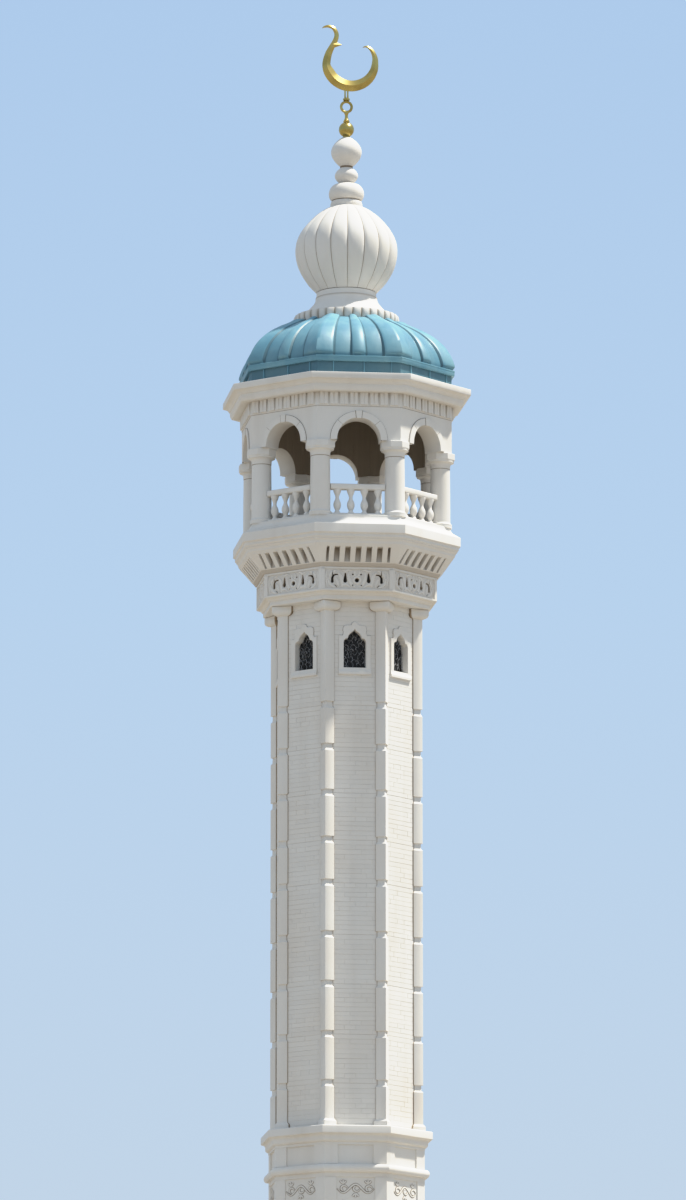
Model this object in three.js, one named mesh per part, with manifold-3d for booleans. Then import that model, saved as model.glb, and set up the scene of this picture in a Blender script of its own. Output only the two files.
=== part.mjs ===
// An octagonal minaret: stepped foot, tall shaft with corner pilasters, arcaded gallery, ribbed dome
// and a crescent. Millimetres, +Z up, origin at the middle of the underside, front face towards -Y.
import * as THREE from "three";
import { mergeVertices } from "three/addons/utils/BufferGeometryUtils.js";
import Module from "manifold-3d";

const wasm = await Module();
wasm.setup();

// Octagon. A radius is measured to a corner, a depth from the axis to the middle of a face.
const SIDES = 8;
const TURN = Math.PI / 4;
const HALF_TURN = TURN / 2;
const TO_DEPTH = Math.cos(HALF_TURN);
const JOINT = 0.3;

// Heights, from the ground up.
const STEP_RISE = 150;
const STEP_COUNT = 3;
const FLOOR = STEP_RISE * STEP_COUNT;
const PLINTH_TOP = 1150;
const DOOR_SPRING = 2250;
const DOOR_APEX = 2780;
const LOWER_WALL_TOP = 7050;
const LOWER_CORNICE_TOP = 7450;
const CARVED_BAND_TOP = 8670;
const RING_BAND_TOP = 8920;
const PANEL_BAND_TOP = 9410;
const SHAFT_FOOT = 9838;
const PILASTER_FOOT_TOP = 10005;
const SILL = 20860;
const WINDOW_BOTTOM = 21030;
const WINDOW_SHOULDER = 21670;
const WINDOW_APEX = 21940;
const SURROUND_SHOULDER = 21800;
const SURROUND_APEX = 22110;
const CAPITAL_FOOT = 22400;
const SHAFT_TOP = 22650;
const FRIEZE_TOP = 23430;
const CORBEL_TOP = 24050;
const SLAB_EDGE_TOP = 24420;
const GALLERY_FLOOR = 24660;
const RAIL_BOTTOM = 25300;
const RAIL_TOP = 25440;
const NECK_RING = 26110;
const ABACUS_BOTTOM = 26300;
const SPRINGING = 26480;
const ARCADE_TOP = 27310;
const SOFFIT = 27650;
const CORNICE_TOP = 28330;
const DOME_BAND_BOTTOM = 28660;
const DOME_BAND_TOP = 28760;
const DOME_TOP = 29790;
const PEDESTAL_TOP = 30690;
const ONION_TOP = 32810;
const BEADS_TOP = 34610;

// Radii to the octagon's corners.
const PLINTH_R = 2350;
const STEP_TREAD = 230;
const LOWER_R = 2020;
const LOWER_PLINTH_R = 2130;
const SHAFT_R = 1920;
const BAND_R = 1952;
const LOWER_CORNICE_R = 2200;
const RING_BAND_R = 2085;
const BASE_CORNICE_R = 2157;
const FRIEZE_R = 2285;
const ARCHITRAVE_R = 2115;
const CORBEL_FOOT_R = 2300;
const CORBEL_TOP_R = 2760;
const SLAB_R = 2885;
const LANTERN_R = 2667;
const CORNICE_R = 3157;
const DOME_R = 2740;

// Wall build-up.
const WALL_RECESS = 110;
const PILASTER_FACE = 200;
const INNER_DEPTH = 1330;
const INNER_R = INNER_DEPTH / TO_DEPTH;
const LANTERN_THICKNESS = 450;
const LANTERN_INNER_R = LANTERN_R - LANTERN_THICKNESS / TO_DEPTH;

// Gallery.
const COLUMN_CIRCLE = 2374;
const COLUMN_RADIUS = 245;
const ARCH_RADIUS = 530;
const ARCHIVOLT_WIDTH = 190;
const ARCHIVOLT_PROUD = 35;
const BALUSTERS = 4;
const BALUSTER_PITCH = 330;
const RAIL_WIDTH = 200;

const stone = new THREE.MeshStandardMaterial({ color: 0xe9e5dc, roughness: 0.85, metalness: 0 });
const domeSheet = new THREE.MeshStandardMaterial({ color: 0x5f9fb0, roughness: 0.5, metalness: 0.2 });
const gold = new THREE.MeshStandardMaterial({ color: 0xc39a35, roughness: 0.3, metalness: 1 });
const bronze = new THREE.MeshStandardMaterial({ color: 0x2b2927, roughness: 0.6, metalness: 0.4 });
const timber = new THREE.MeshStandardMaterial({ color: 0x5a3c26, roughness: 0.7, metalness: 0 });

const minaret = new THREE.Group();

// A closed geometry as a solid that can be joined and cut.
function toSolid(geometry) {
  const bare = geometry.clone();
  bare.deleteAttribute("normal");
  bare.deleteAttribute("uv");
  const merged = mergeVertices(bare, 1e-3);
  const corners = merged.index.array;
  const kept = [];
  for (let i = 0; i < corners.length; i += 3) {
    const [a, b, c] = [corners[i], corners[i + 1], corners[i + 2]];
    if (a !== b && b !== c && c !== a) kept.push(a, b, c);
  }
  return new wasm.Manifold(new wasm.Mesh({
    numProp: 3,
    vertProperties: new Float32Array(merged.attributes.position.array),
    triVerts: new Uint32Array(kept),
  }));
}

function toGeometry(solid) {
  const mesh = solid.getMesh();
  const geometry = new THREE.BufferGeometry();
  geometry.setAttribute("position", new THREE.BufferAttribute(mesh.vertProperties, 3));
  geometry.setIndex(new THREE.BufferAttribute(mesh.triVerts, 1));
  geometry.computeVertexNormals();
  return geometry;
}

function joined(solids) {
  return solids.reduce((whole, piece) => whole.add(piece));
}

function place(name, solid, material, angle = 0) {
  const mesh = new THREE.Mesh(toGeometry(solid), material);
  mesh.name = name;
  mesh.rotation.z = angle;
  minaret.add(mesh);
}

// A profile of [radius, height] points turned about Z. The points run with the material on their left,
// and they start and end on the axis or close on themselves.
function turned(profile, segments, shapeAt = null) {
  const points = profile.map(([radius, height]) => new THREE.Vector2(radius, height));
  const start = segments === SIDES ? HALF_TURN : 0;
  const geometry = new THREE.LatheGeometry(points, segments, start);
  geometry.rotateX(Math.PI / 2);
  const position = geometry.attributes.position;
  for (let i = 0; shapeAt && i < position.count; i += 1) {
    const [x, y, z] = [position.getX(i), position.getY(i), position.getZ(i)];
    const scale = shapeAt(Math.atan2(x, -y), Math.hypot(x, y), z);
    position.setXY(i, x * scale, y * scale);
  }
  return toSolid(geometry);
}

// A ring around the hollow of the tower: outer points from the bottom up, then the inner wall.
function octagonRing(outer, innerRadius) {
  const bottom = outer[0][1];
  const top = outer[outer.length - 1][1];
  const profile = [[innerRadius, bottom], ...outer, [innerRadius, top], [innerRadius, bottom]];
  return turned(profile, SIDES);
}

// A block between two corners.
function block(low, high) {
  const size = high.map((value, i) => value - low[i]);
  const geometry = new THREE.BoxGeometry(...size);
  geometry.translate(...low.map((value, i) => value + size[i] / 2));
  return toSolid(geometry);
}

// A plan outline of [x, y] points raised between two heights.
function raised(outline, bottom, top) {
  const shape = new THREE.Shape(outline.map(([x, y]) => new THREE.Vector2(x, y)));
  const geometry = new THREE.ExtrudeGeometry(shape, { depth: top - bottom, bevelEnabled: false });
  geometry.translate(0, 0, bottom);
  return toSolid(geometry);
}

// An elevation outline of [x, z] points, from the depth near the axis out to the far depth at -Y.
function upright(outline, near, far) {
  const shape = new THREE.Shape(outline.map(([x, z]) => new THREE.Vector2(x, z)));
  const geometry = new THREE.ExtrudeGeometry(shape, { depth: far - near, bevelEnabled: false });
  geometry.rotateX(Math.PI / 2);
  geometry.translate(0, -near, 0);
  return toSolid(geometry);
}

// Half the width of a face at a depth, less half of the joint at the mitre.
function halfWidth(depth) {
  return depth * Math.tan(HALF_TURN) - JOINT / 2 / TO_DEPTH;
}

// One face of the wall in plan, with a half pilaster of the given width at each end.
function wallOutline(outerDepth, wallDepth, faceWidth, innerDepth) {
  const corner = halfWidth(outerDepth);
  const inner = halfWidth(innerDepth);
  const edge = corner - faceWidth;
  return [
    [-corner, -outerDepth], [-edge, -outerDepth], [-edge, -wallDepth], [edge, -wallDepth],
    [edge, -outerDepth], [corner, -outerDepth], [inner, -innerDepth], [-inner, -innerDepth],
  ];
}

function mirrored(half) {
  const other = half.filter(([x]) => x > 0).map(([x, z]) => [-x, z]).reverse();
  return [...half, ...other];
}

// A pointed opening with stepped shoulders, from its sill to its apex.
function pointedOutline(half, sill, shoulder, apex) {
  const rise = apex - shoulder;
  return mirrored([
    [half, sill], [half, shoulder], [half * 0.86, shoulder + rise * 0.24], [half * 0.62, shoulder + rise * 0.36],
    [half * 0.44, shoulder + rise * 0.6], [half * 0.2, shoulder + rise * 0.84], [0, apex],
  ]);
}

function steppedFoot() {
  const outer = [];
  for (let step = 0; step < STEP_COUNT; step += 1) {
    const radius = PLINTH_R + STEP_TREAD * (STEP_COUNT - 1 - step);
    outer.push([radius, step * STEP_RISE], [radius, (step + 1) * STEP_RISE]);
  }
  place("stepped_foot", turned([[0, 0], ...outer, [0, FLOOR]], SIDES), stone);
}

function lowerFace() {
  const pilasterDepth = LOWER_R * TO_DEPTH;
  const wallDepth = pilasterDepth - WALL_RECESS;
  const plinthDepth = LOWER_PLINTH_R * TO_DEPTH;
  const wall = raised(wallOutline(pilasterDepth, wallDepth, PILASTER_FACE, INNER_DEPTH), FLOOR, LOWER_WALL_TOP);
  const plinth = raised(wallOutline(plinthDepth, plinthDepth, 1, INNER_DEPTH), FLOOR, PLINTH_TOP);
  return wall.add(plinth);
}

function lowerWalls() {
  const doorHalf = 400;
  const surroundWidth = 120;
  const surroundProud = 60;
  const wallDepth = LOWER_R * TO_DEPTH - WALL_RECESS;
  const plinthDepth = LOWER_PLINTH_R * TO_DEPTH;
  const doorway = pointedOutline(doorHalf, FLOOR - 1, DOOR_SPRING, DOOR_APEX);
  const surround = pointedOutline(doorHalf + surroundWidth, FLOOR, DOOR_SPRING + 60, DOOR_APEX + 150);
  const face = lowerFace();
  const front = face
    .add(upright(surround, wallDepth - 20, plinthDepth + surroundProud - 30))
    .subtract(upright(doorway, 1000, 3000));
  const names = ["front", "right", "back", "left"];
  names.forEach((name, i) => {
    const first = i === 0 ? front : face;
    const second = face.rotate([0, 0, 45]);
    const bridge = seam(LOWER_R * TO_DEPTH, FLOOR, LOWER_WALL_TOP);
    place(`lower_wall_${name}`, joined([first, bridge, second]), stone, 2 * i * TURN);
  });
  const leaf = pointedOutline(doorHalf - JOINT, FLOOR, DOOR_SPRING, DOOR_APEX - JOINT);
  const leafDepth = wallDepth - 160;
  place("door_leaf", upright(leaf, leafDepth - 55, leafDepth), timber);
}

// A sliver that closes the mitre joint between a face and the next one round.
function seam(outerDepth, bottom, top) {
  const reach = outerDepth / TO_DEPTH - 1;
  const sliver = block([-JOINT, -reach, bottom], [JOINT, -INNER_R - 1, top]);
  return sliver.rotate([0, 0, 22.5]);
}

// Shallow panels cut in each face of a ring, between the corner pilasters.
function withPanels(ring, radius, pilaster, recess, bottom, top) {
  const depth = radius * TO_DEPTH;
  const half = depth * Math.tan(HALF_TURN) - pilaster;
  const panel = block([-half, -depth - 50, bottom], [half, -depth + recess, top]);
  const cuts = [];
  for (let face = 0; face < SIDES; face += 1) cuts.push(panel.rotate([0, 0, 45 * face]));
  return ring.subtract(joined(cuts));
}

function baseRings() {
  const lower = octagonRing([
    [LOWER_R, LOWER_WALL_TOP], [LOWER_R + 40, LOWER_WALL_TOP + 110], [LOWER_CORNICE_R, LOWER_WALL_TOP + 210],
    [LOWER_CORNICE_R, LOWER_CORNICE_TOP - 50], [BAND_R, LOWER_CORNICE_TOP], [BAND_R, CARVED_BAND_TOP],
    [RING_BAND_R - 60, CARVED_BAND_TOP + 10], [RING_BAND_R, CARVED_BAND_TOP + 70],
    [RING_BAND_R, RING_BAND_TOP - 60], [RING_BAND_R - 40, RING_BAND_TOP - 15], [BAND_R, RING_BAND_TOP],
  ], INNER_R);
  const carved = withPanels(lower, BAND_R, 210, 45, LOWER_CORNICE_TOP + 120, CARVED_BAND_TOP - 60);
  place("carved_band", carved, stone);
  const upper = octagonRing([
    [BAND_R, RING_BAND_TOP], [BAND_R, PANEL_BAND_TOP], [BAND_R + 50, PANEL_BAND_TOP + 90],
    [BASE_CORNICE_R - 50, PANEL_BAND_TOP + 190], [BASE_CORNICE_R, PANEL_BAND_TOP + 220],
    [BASE_CORNICE_R, SHAFT_FOOT - 60], [SHAFT_R + 60, SHAFT_FOOT],
  ], INNER_R);
  place("base_cornice", withPanels(upper, BAND_R, 225, 40, RING_BAND_TOP + 60, PANEL_BAND_TOP - 50), stone);
}

// Two corner blocks of one face, such as half of a capital at each end.
function cornerBlocks(radius, faceWidth, bottom, top) {
  const depth = radius * TO_DEPTH;
  const inner = SHAFT_R * TO_DEPTH - WALL_RECESS - 40;
  const corner = halfWidth(depth);
  const edge = corner - faceWidth;
  const right = [[edge, -depth], [corner, -depth], [halfWidth(inner), -inner], [edge, -inner]];
  const left = right.map(([x, y]) => [-x, y]).reverse();
  return raised(right, bottom, top).add(raised(left, bottom, top));
}

function shaftWalls() {
  const pilasterDepth = SHAFT_R * TO_DEPTH;
  const wallDepth = pilasterDepth - WALL_RECESS;
  const screenDepth = wallDepth - 180;
  const surroundProud = 35;
  const surround = mirrored([
    [375, SILL], [375, SURROUND_SHOULDER], [300, SURROUND_SHOULDER], [290, SURROUND_SHOULDER + 110],
    [225, SURROUND_SHOULDER + 205], [115, SURROUND_SHOULDER + 265], [0, SURROUND_APEX],
  ]);
  const face = joined([
    raised(wallOutline(pilasterDepth, wallDepth, PILASTER_FACE, INNER_DEPTH), SHAFT_FOOT, SHAFT_TOP),
    cornerBlocks(SHAFT_R + 70, 260, SHAFT_FOOT, PILASTER_FOOT_TOP),
    cornerBlocks(SHAFT_R + 45, 255, CAPITAL_FOOT, CAPITAL_FOOT + 120),
    cornerBlocks(SHAFT_R + 95, 320, CAPITAL_FOOT + 120, SHAFT_TOP),
    upright(surround, wallDepth - 40, wallDepth + surroundProud),
    block([-390, -wallDepth - 60, SILL - 10], [390, -wallDepth + 40, SILL + 60]),
  ]);
  const opening = pointedOutline(265, WINDOW_BOTTOM, WINDOW_SHOULDER, WINDOW_APEX);
  const rebate = block([-1500, -screenDepth, SILL - 160], [1500, -1000, SURROUND_APEX + 190]);
  const wall = face.subtract(upright(opening, 1000, 3000)).subtract(rebate);
  for (let i = 0; i < SIDES; i += 1) place(`shaft_wall_${i + 1}`, wall, stone, i * TURN);
  const sheetR = (screenDepth - JOINT) / TO_DEPTH;
  const sheet = octagonRing([[sheetR, SILL - 160], [sheetR, SURROUND_APEX + 100]], sheetR - 25);
  place("window_screens", sheet, bronze);
}

function friezeRing() {
  const ring = octagonRing([
    [ARCHITRAVE_R, SHAFT_TOP], [ARCHITRAVE_R, SHAFT_TOP + 110], [FRIEZE_R - 30, SHAFT_TOP + 175],
    [FRIEZE_R, SHAFT_TOP + 200], [FRIEZE_R, FRIEZE_TOP],
  ], INNER_R);
  place("frieze", withPanels(ring, FRIEZE_R, 175, 50, SHAFT_TOP + 240, FRIEZE_TOP - 70), stone);
}

function corbelRing() {
  const slotBottom = FRIEZE_TOP + 100;
  const slotTop = CORBEL_TOP - 190;
  const ring = octagonRing([
    [CORBEL_FOOT_R, FRIEZE_TOP], [CORBEL_FOOT_R + 130, slotBottom], [CORBEL_TOP_R - 20, slotTop],
    [CORBEL_TOP_R + 30, CORBEL_TOP],
  ], INNER_R);
  const pitch = 260;
  const slotWidth = 135;
  const backDepth = 2180;
  const cuts = [];
  for (let face = 0; face < SIDES; face += 1) {
    for (let slot = -3; slot <= 3; slot += 1) {
      const atEnd = Math.abs(slot) === 3;
      const width = atEnd ? slotWidth / 2 : slotWidth;
      const centre = slot * pitch - Math.sign(slot) * (atEnd ? 40 : 0);
      const box = block([centre - width / 2, -3000, slotBottom], [centre + width / 2, -backDepth, slotTop]);
      cuts.push(box.rotate([0, 0, 45 * face]));
    }
  }
  place("corbel_ring", ring.subtract(joined(cuts)), stone);
}

function gallerySlab() {
  const outer = [
    [SLAB_R - 20, CORBEL_TOP], [SLAB_R, CORBEL_TOP + 20], [SLAB_R, SLAB_EDGE_TOP - 40],
    [SLAB_R - 25, SLAB_EDGE_TOP], [LANTERN_R - 40, GALLERY_FLOOR],
  ];
  place("gallery_slab", turned([[0, CORBEL_TOP], ...outer, [0, GALLERY_FLOOR]], SIDES), stone);
}

function columns() {
  const r = COLUMN_RADIUS;
  const shaft = turned([
    [0, GALLERY_FLOOR], [r + 30, GALLERY_FLOOR], [r + 30, GALLERY_FLOOR + 70], [r, GALLERY_FLOOR + 100],
    [r - 8, NECK_RING], [r + 12, NECK_RING + 20], [r + 6, NECK_RING + 80], [r + 60, ABACUS_BOTTOM],
    [0, ABACUS_BOTTOM],
  ], 12);
  const abacus = turned([
    [0, ABACUS_BOTTOM], [r + 100, ABACUS_BOTTOM], [r + 125, SPRINGING - 140], [r + 125, SPRINGING],
    [0, SPRINGING],
  ], SIDES);
  const column = shaft.add(abacus).translate([0, -COLUMN_CIRCLE, 0]);
  for (let i = 0; i < SIDES; i += 1) place(`column_${i + 1}`, column, stone, (i + 0.5) * TURN);
}

function archPanels() {
  const outerDepth = LANTERN_R * TO_DEPTH;
  const innerDepth = outerDepth - LANTERN_THICKNESS;
  const steps = 12;
  const arc = (radius) => {
    const points = [];
    for (let i = 0; i <= steps; i += 1) {
      const angle = (Math.PI * i) / steps;
      points.push([radius * Math.cos(angle), SPRINGING + 20 + radius * Math.sin(angle)]);
    }
    return points;
  };
  const outline = (radius, bottom) => [[radius, bottom], ...arc(radius), [-radius, bottom]];
  const plan = wallOutline(outerDepth, outerDepth, 1, innerDepth);
  const keystone = [
    [80, SPRINGING + ARCH_RADIUS - 30], [100, ARCADE_TOP - 25], [-100, ARCADE_TOP - 25],
    [-80, SPRINGING + ARCH_RADIUS - 30],
  ];
  const panel = joined([
    raised(plan, SPRINGING, ARCADE_TOP),
    upright(outline(ARCH_RADIUS + ARCHIVOLT_WIDTH, SPRINGING), outerDepth - 50, outerDepth + ARCHIVOLT_PROUD),
    upright(keystone, outerDepth - 50, outerDepth + ARCHIVOLT_PROUD + 20),
  ]);
  const opening = upright(outline(ARCH_RADIUS, SPRINGING - 10), 1000, 3000);
  const arch = panel.subtract(opening);
  for (let i = 0; i < SIDES; i += 1) place(`arch_${i + 1}`, arch, stone, i * TURN);
}

function balustrades() {
  const depth = COLUMN_CIRCLE * TO_DEPTH;
  const railHalf = COLUMN_CIRCLE * Math.sin(HALF_TURN) - COLUMN_RADIUS - JOINT;
  const kerbHalf = railHalf - 30;
  const height = RAIL_BOTTOM - GALLERY_FLOOR;
  const foot = GALLERY_FLOOR + 60;
  const profile = [
    [0, foot - 5], [60, foot - 5], [84, foot + height * 0.25], [46, foot + height * 0.52],
    [74, RAIL_BOTTOM - 60], [74, RAIL_BOTTOM + 5], [0, RAIL_BOTTOM + 5],
  ];
  const pieces = [
    block([-railHalf, -depth - RAIL_WIDTH / 2, RAIL_BOTTOM], [railHalf, -depth + RAIL_WIDTH / 2, RAIL_TOP]),
    block([-kerbHalf, -depth - 95, GALLERY_FLOOR], [kerbHalf, -depth + 95, foot]),
  ];
  for (let i = 0; i < BALUSTERS; i += 1) {
    const x = (i - (BALUSTERS - 1) / 2) * BALUSTER_PITCH;
    pieces.push(turned(profile, 6).translate([x, -depth, 0]));
  }
  const panel = joined(pieces);
  for (let i = 0; i < SIDES; i += 1) place(`balustrade_${i + 1}`, panel, stone, i * TURN);
}

function topCornice() {
  const ring = octagonRing([
    [LANTERN_R, ARCADE_TOP], [LANTERN_R, SOFFIT], [LANTERN_R + 250, SOFFIT], [LANTERN_R + 300, SOFFIT + 70],
    [LANTERN_R + 380, SOFFIT + 130], [LANTERN_R + 440, SOFFIT + 220], [CORNICE_R, SOFFIT + 280],
    [CORNICE_R, SOFFIT + 420], [DOME_R + 30, CORNICE_TOP - 50], [DOME_R + 10, CORNICE_TOP],
  ], LANTERN_INNER_R);
  const depth = LANTERN_R * TO_DEPTH;
  const count = 8;
  const pitch = 245;
  const teeth = [];
  for (let face = 0; face < SIDES; face += 1) {
    for (let i = 0; i < count; i += 1) {
      const x = (i - (count - 1) / 2) * pitch;
      const tooth = block([x - 65, -depth - 130, ARCADE_TOP + 40], [x + 65, -depth + 20, SOFFIT + 5]);
      teeth.push(tooth.rotate([0, 0, 45 * face]));
    }
  }
  place("top_cornice", ring.add(joined(teeth)), stone);
}

// The radius of the dome's plan against its corner radius: an octagon with a round rib at each corner
// and in the middle of each face.
function domePlan(angle, radius, height) {
  const fromFace = ((((angle + HALF_TURN) % TURN) + TURN) % TURN) - HALF_TURN;
  const octagon = TO_DEPTH / Math.cos(fromFace);
  const ribTurn = TURN / 2;
  const fromRib = Math.abs(((((angle + ribTurn / 2) % ribTurn) + ribTurn) % ribTurn) - ribTurn / 2);
  const inRib = fromRib < ribTurn * 0.2;
  const proud = inRib && height > DOME_BAND_TOP - 1 && height < DOME_TOP - 1 ? 70 / radius : 0;
  return octagon + proud;
}

function dome() {
  const outer = [
    [DOME_R, CORNICE_TOP], [DOME_R - 15, DOME_BAND_BOTTOM], [DOME_R + 20, DOME_BAND_BOTTOM + 5],
    [DOME_R + 10, DOME_BAND_TOP], [DOME_R - 75, DOME_BAND_TOP + 60], [2480, 29140], [2220, 29370],
    [1880, 29580], [1300, DOME_TOP],
  ];
  const shell = turned([
    [0, 29560], [1500, 29420], [2050, 29150], [2400, 28800], [2500, CORNICE_TOP], ...outer, [0, DOME_TOP],
  ], 32, domePlan);
  place("dome", shell, domeSheet);
}

// Round lobes, as on a gadrooned ring or an onion with gores.
function lobed(count, amount) {
  return (angle, radius) => {
    if (radius < 1) return 1;
    return 1 - amount * (1 - Math.abs(Math.sin((angle * count) / 2)));
  };
}

function finial() {
  const pedestal = turned([
    [0, DOME_TOP], [1280, DOME_TOP], [1345, DOME_TOP + 100], [1330, DOME_TOP + 200], [1230, DOME_TOP + 250],
    [1060, DOME_TOP + 260], [880, DOME_TOP + 370], [780, DOME_TOP + 490], [742, DOME_TOP + 700],
    [742, PEDESTAL_TOP], [0, PEDESTAL_TOP],
  ], 24);
  place("finial_pedestal", pedestal, stone);
  const onion = turned([
    [0, PEDESTAL_TOP], [735, PEDESTAL_TOP], [1000, 30970], [1175, 31270], [1255, 31600], [1235, 31930],
    [1150, 32150], [960, 32420], [700, 32660], [386, ONION_TOP], [0, ONION_TOP],
  ], 32, lobed(16, 0.03));
  place("onion", onion, stone);
  const beads = turned([
    [0, ONION_TOP], [386, ONION_TOP], [386, 32910], [436, 33060], [425, 33200], [310, 33370], [170, 33440],
    [260, 33530], [286, 33650], [245, 33790], [150, 33890], [290, 34000], [372, 34200], [365, 34330],
    [250, 34530], [110, BEADS_TOP], [0, BEADS_TOP],
  ], 16);
  place("finial_beads", beads, stone);
}

// A closed tube of diamond section along a list of {x, z, half} stations, in the plane of the front.
function bladeSolid(stations, ridge) {
  const positions = [];
  const triangles = [];
  stations.forEach(({ x, z, half, nx, nz }) => {
    const thick = Math.min(half * 0.9, ridge);
    positions.push(x + nx * half, 0, z + nz * half, x, -thick, z, x - nx * half, 0, z - nz * half, x, thick, z);
  });
  for (let i = 0; i + 1 < stations.length; i += 1) {
    for (let k = 0; k < 4; k += 1) {
      const [a, b] = [4 * i + k, 4 * i + ((k + 1) % 4)];
      triangles.push(a, b, a + 4, b, b + 4, a + 4);
    }
  }
  const last = 4 * (stations.length - 1);
  triangles.push(0, 2, 1, 0, 3, 2, last, last + 1, last + 2, last, last + 2, last + 3);
  const geometry = new THREE.BufferGeometry();
  geometry.setAttribute("position", new THREE.BufferAttribute(new Float32Array(positions), 3));
  geometry.setIndex(triangles);
  return toSolid(geometry);
}

function crescentBlade() {
  const spine = new THREE.CatmullRomCurve3([
    [-610, 37340], [-480, 37370], [-355, 37270], [-330, 37090], [-400, 36900], [-500, 36640], [-480, 36330],
    [-310, 36030], [-20, 35850], [280, 35900], [540, 36100], [700, 36420], [690, 36700], [560, 36850],
    [430, 36890],
  ].map(([x, z]) => new THREE.Vector3(x, 0, z)));
  const steps = 30;
  const stations = [];
  for (let i = 0; i <= steps; i += 1) {
    const t = i / steps;
    const point = spine.getPointAt(t);
    const tangent = spine.getTangentAt(t);
    const belly = Math.exp(-(((t - 0.56) / 0.19) ** 2));
    const half = 14 + 28 * Math.sin(Math.PI * t) + 80 * belly;
    stations.push({ x: point.x, z: point.z, half, nx: -tangent.z, nz: tangent.x });
  }
  return bladeSolid(stations, 75);
}

function crescent() {
  const ball = new THREE.SphereGeometry(188, 12, 8);
  ball.rotateX(Math.PI / 2);
  ball.translate(0, 0, BEADS_TOP + 195);
  const foot = turned([[0, BEADS_TOP], [90, BEADS_TOP], [80, BEADS_TOP + 60], [0, BEADS_TOP + 60]], 8);
  const neck = turned([[0, 34960], [75, 34960], [55, 35080], [35, 35260], [0, 35260]], 8);
  const ring = new THREE.TorusGeometry(128, 28, 6, 16);
  ring.rotateX(Math.PI / 2);
  ring.translate(0, 0, 35380);
  const prongs = [-35, 35].map((x) => block([x - 14, -20, 35480], [x + 14, 20, 35800]));
  const parts = [toSolid(ball), foot, neck, toSolid(ring), ...prongs, crescentBlade()];
  place("crescent", joined(parts), gold);
}

steppedFoot();
lowerWalls();
baseRings();
shaftWalls();
friezeRing();
corbelRing();
gallerySlab();
balustrades();
columns();
archPanels();
topCornice();
dome();
finial();
crescent();

export default minaret;
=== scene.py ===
"""The looks of an octagonal minaret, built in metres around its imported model.

Heights and depths follow the model: +Z is up, the front face looks towards -Y, and a depth is measured
from the axis out to the middle of a face. Azimuths run from the front towards +X.
"""

import math

import bmesh
import bpy
import numpy as np
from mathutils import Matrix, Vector


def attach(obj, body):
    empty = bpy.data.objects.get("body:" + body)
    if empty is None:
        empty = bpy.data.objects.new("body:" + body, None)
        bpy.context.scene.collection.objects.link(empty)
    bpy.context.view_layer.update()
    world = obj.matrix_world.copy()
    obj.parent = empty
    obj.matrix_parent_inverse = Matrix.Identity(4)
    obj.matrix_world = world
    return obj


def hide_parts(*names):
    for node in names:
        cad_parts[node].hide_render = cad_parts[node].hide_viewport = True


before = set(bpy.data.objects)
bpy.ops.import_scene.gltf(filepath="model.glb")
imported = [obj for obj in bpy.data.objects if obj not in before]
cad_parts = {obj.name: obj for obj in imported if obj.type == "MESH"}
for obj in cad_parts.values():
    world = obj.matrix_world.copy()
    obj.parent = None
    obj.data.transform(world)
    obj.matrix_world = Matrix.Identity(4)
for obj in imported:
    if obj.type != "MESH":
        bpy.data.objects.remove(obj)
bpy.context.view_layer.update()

# Octagon
SIDES = 8
TURN = math.tau / SIDES
TAN = math.tan(TURN / 2)
COS = math.cos(TURN / 2)

# Heights
FLOOR = 0.45
PLINTH_TOP = 1.15
DOOR_SHOULDER = 2.25
DOOR_APEX = 2.78
LOWER_WALL_TOP = 7.05
CARVED_FIELD = (7.62, 8.655)
RING_BAND = (8.785, 8.965)
PANEL_BAND_TOP = 9.44
BASE_CORNICE_TOP = 9.885
SHAFT_FOOT = 9.838
SHAFT_TOP = 22.65
FRIEZE_TOP = 23.43
CORBEL_SLOTS = (23.53, 23.86)
CORBEL_TOP = 24.05
GALLERY_FLOOR = 24.66
RAIL_BOTTOM = 25.30
RAIL_TOP = 25.44
NECK_RING = 26.11
ABACUS_BOTTOM = 26.30
SPRINGING = 26.48
ARCADE_TOP = 27.31
SOFFIT = 27.65
CORNICE_TOP = 28.33
DOME_BAND = (28.425, 28.555)
DOME_TOP = 29.79
PEDESTAL_TOP = 30.69
ONION_TOP = 32.81
BEADS_TOP = 34.61

# Radii to the corners
CORE_R = 1.5
LOWER_R = 2.02
LOWER_PLINTH_R = 2.13
SHAFT_R = 1.92
BAND_R = 1.952
FRIEZE_R = 2.285
SLAB_R = 2.885
LANTERN_R = 2.667
SKIRT_R = 2.665
CORNICE_R = 3.157

# Wall build-up
WALL_RECESS = 0.13
PILASTER_FACE = 0.235
INNER_DEPTH = 1.33
COURSE = 0.1145
BRICK = 0.27
JOINT = 0.0045
OPEN_JOINT = 0.007
SHARE_OF_OPEN_UPRIGHTS = 0.3
NARROWEST_BRICK = 0.03
BRICK_RELIEF = 0.005
BRICK_CHAMFER = 0.0025
FACET_LEAN = math.tan(math.radians(23.5))
SHAFT_JOINTS = (10.925, 12.105, 13.32, 14.52, 15.77, 16.815, 17.96, 19.08, 20.11)
LOWER_JOINTS = (2.335, 3.48, 4.625, 5.77)
DOOR_HALF = 0.40
DOOR_FRAME = 0.12

# Gallery
COLUMN_CIRCLE = 2.374
COLUMN_RADIUS = 0.245
ARCH_RADIUS = 0.53
ARCH_CENTRE = SPRINGING + 0.02
ARCHIVOLT = 0.165
LANTERN_INNER_DEPTH = LANTERN_R * COS - 0.45

# Tones of a piece's points: a clean face, the bed around a brick, the wall behind and lines of painted shadow
CLEAN = 0.5
BRICK_BED = 0.455
CORE_TONE = 0.43
PAINTED_SHADOW_TONE = 0.12

# Points nearer than this become one
WELD_GAP = 2e-5

# Far points before and behind the front face, and the outline of a wall without a hole
FRONT = (0, -1000.0, 0)
BEHIND = (0, 1000.0, 0)
NO_HOLE = np.zeros((0, 2))


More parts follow.
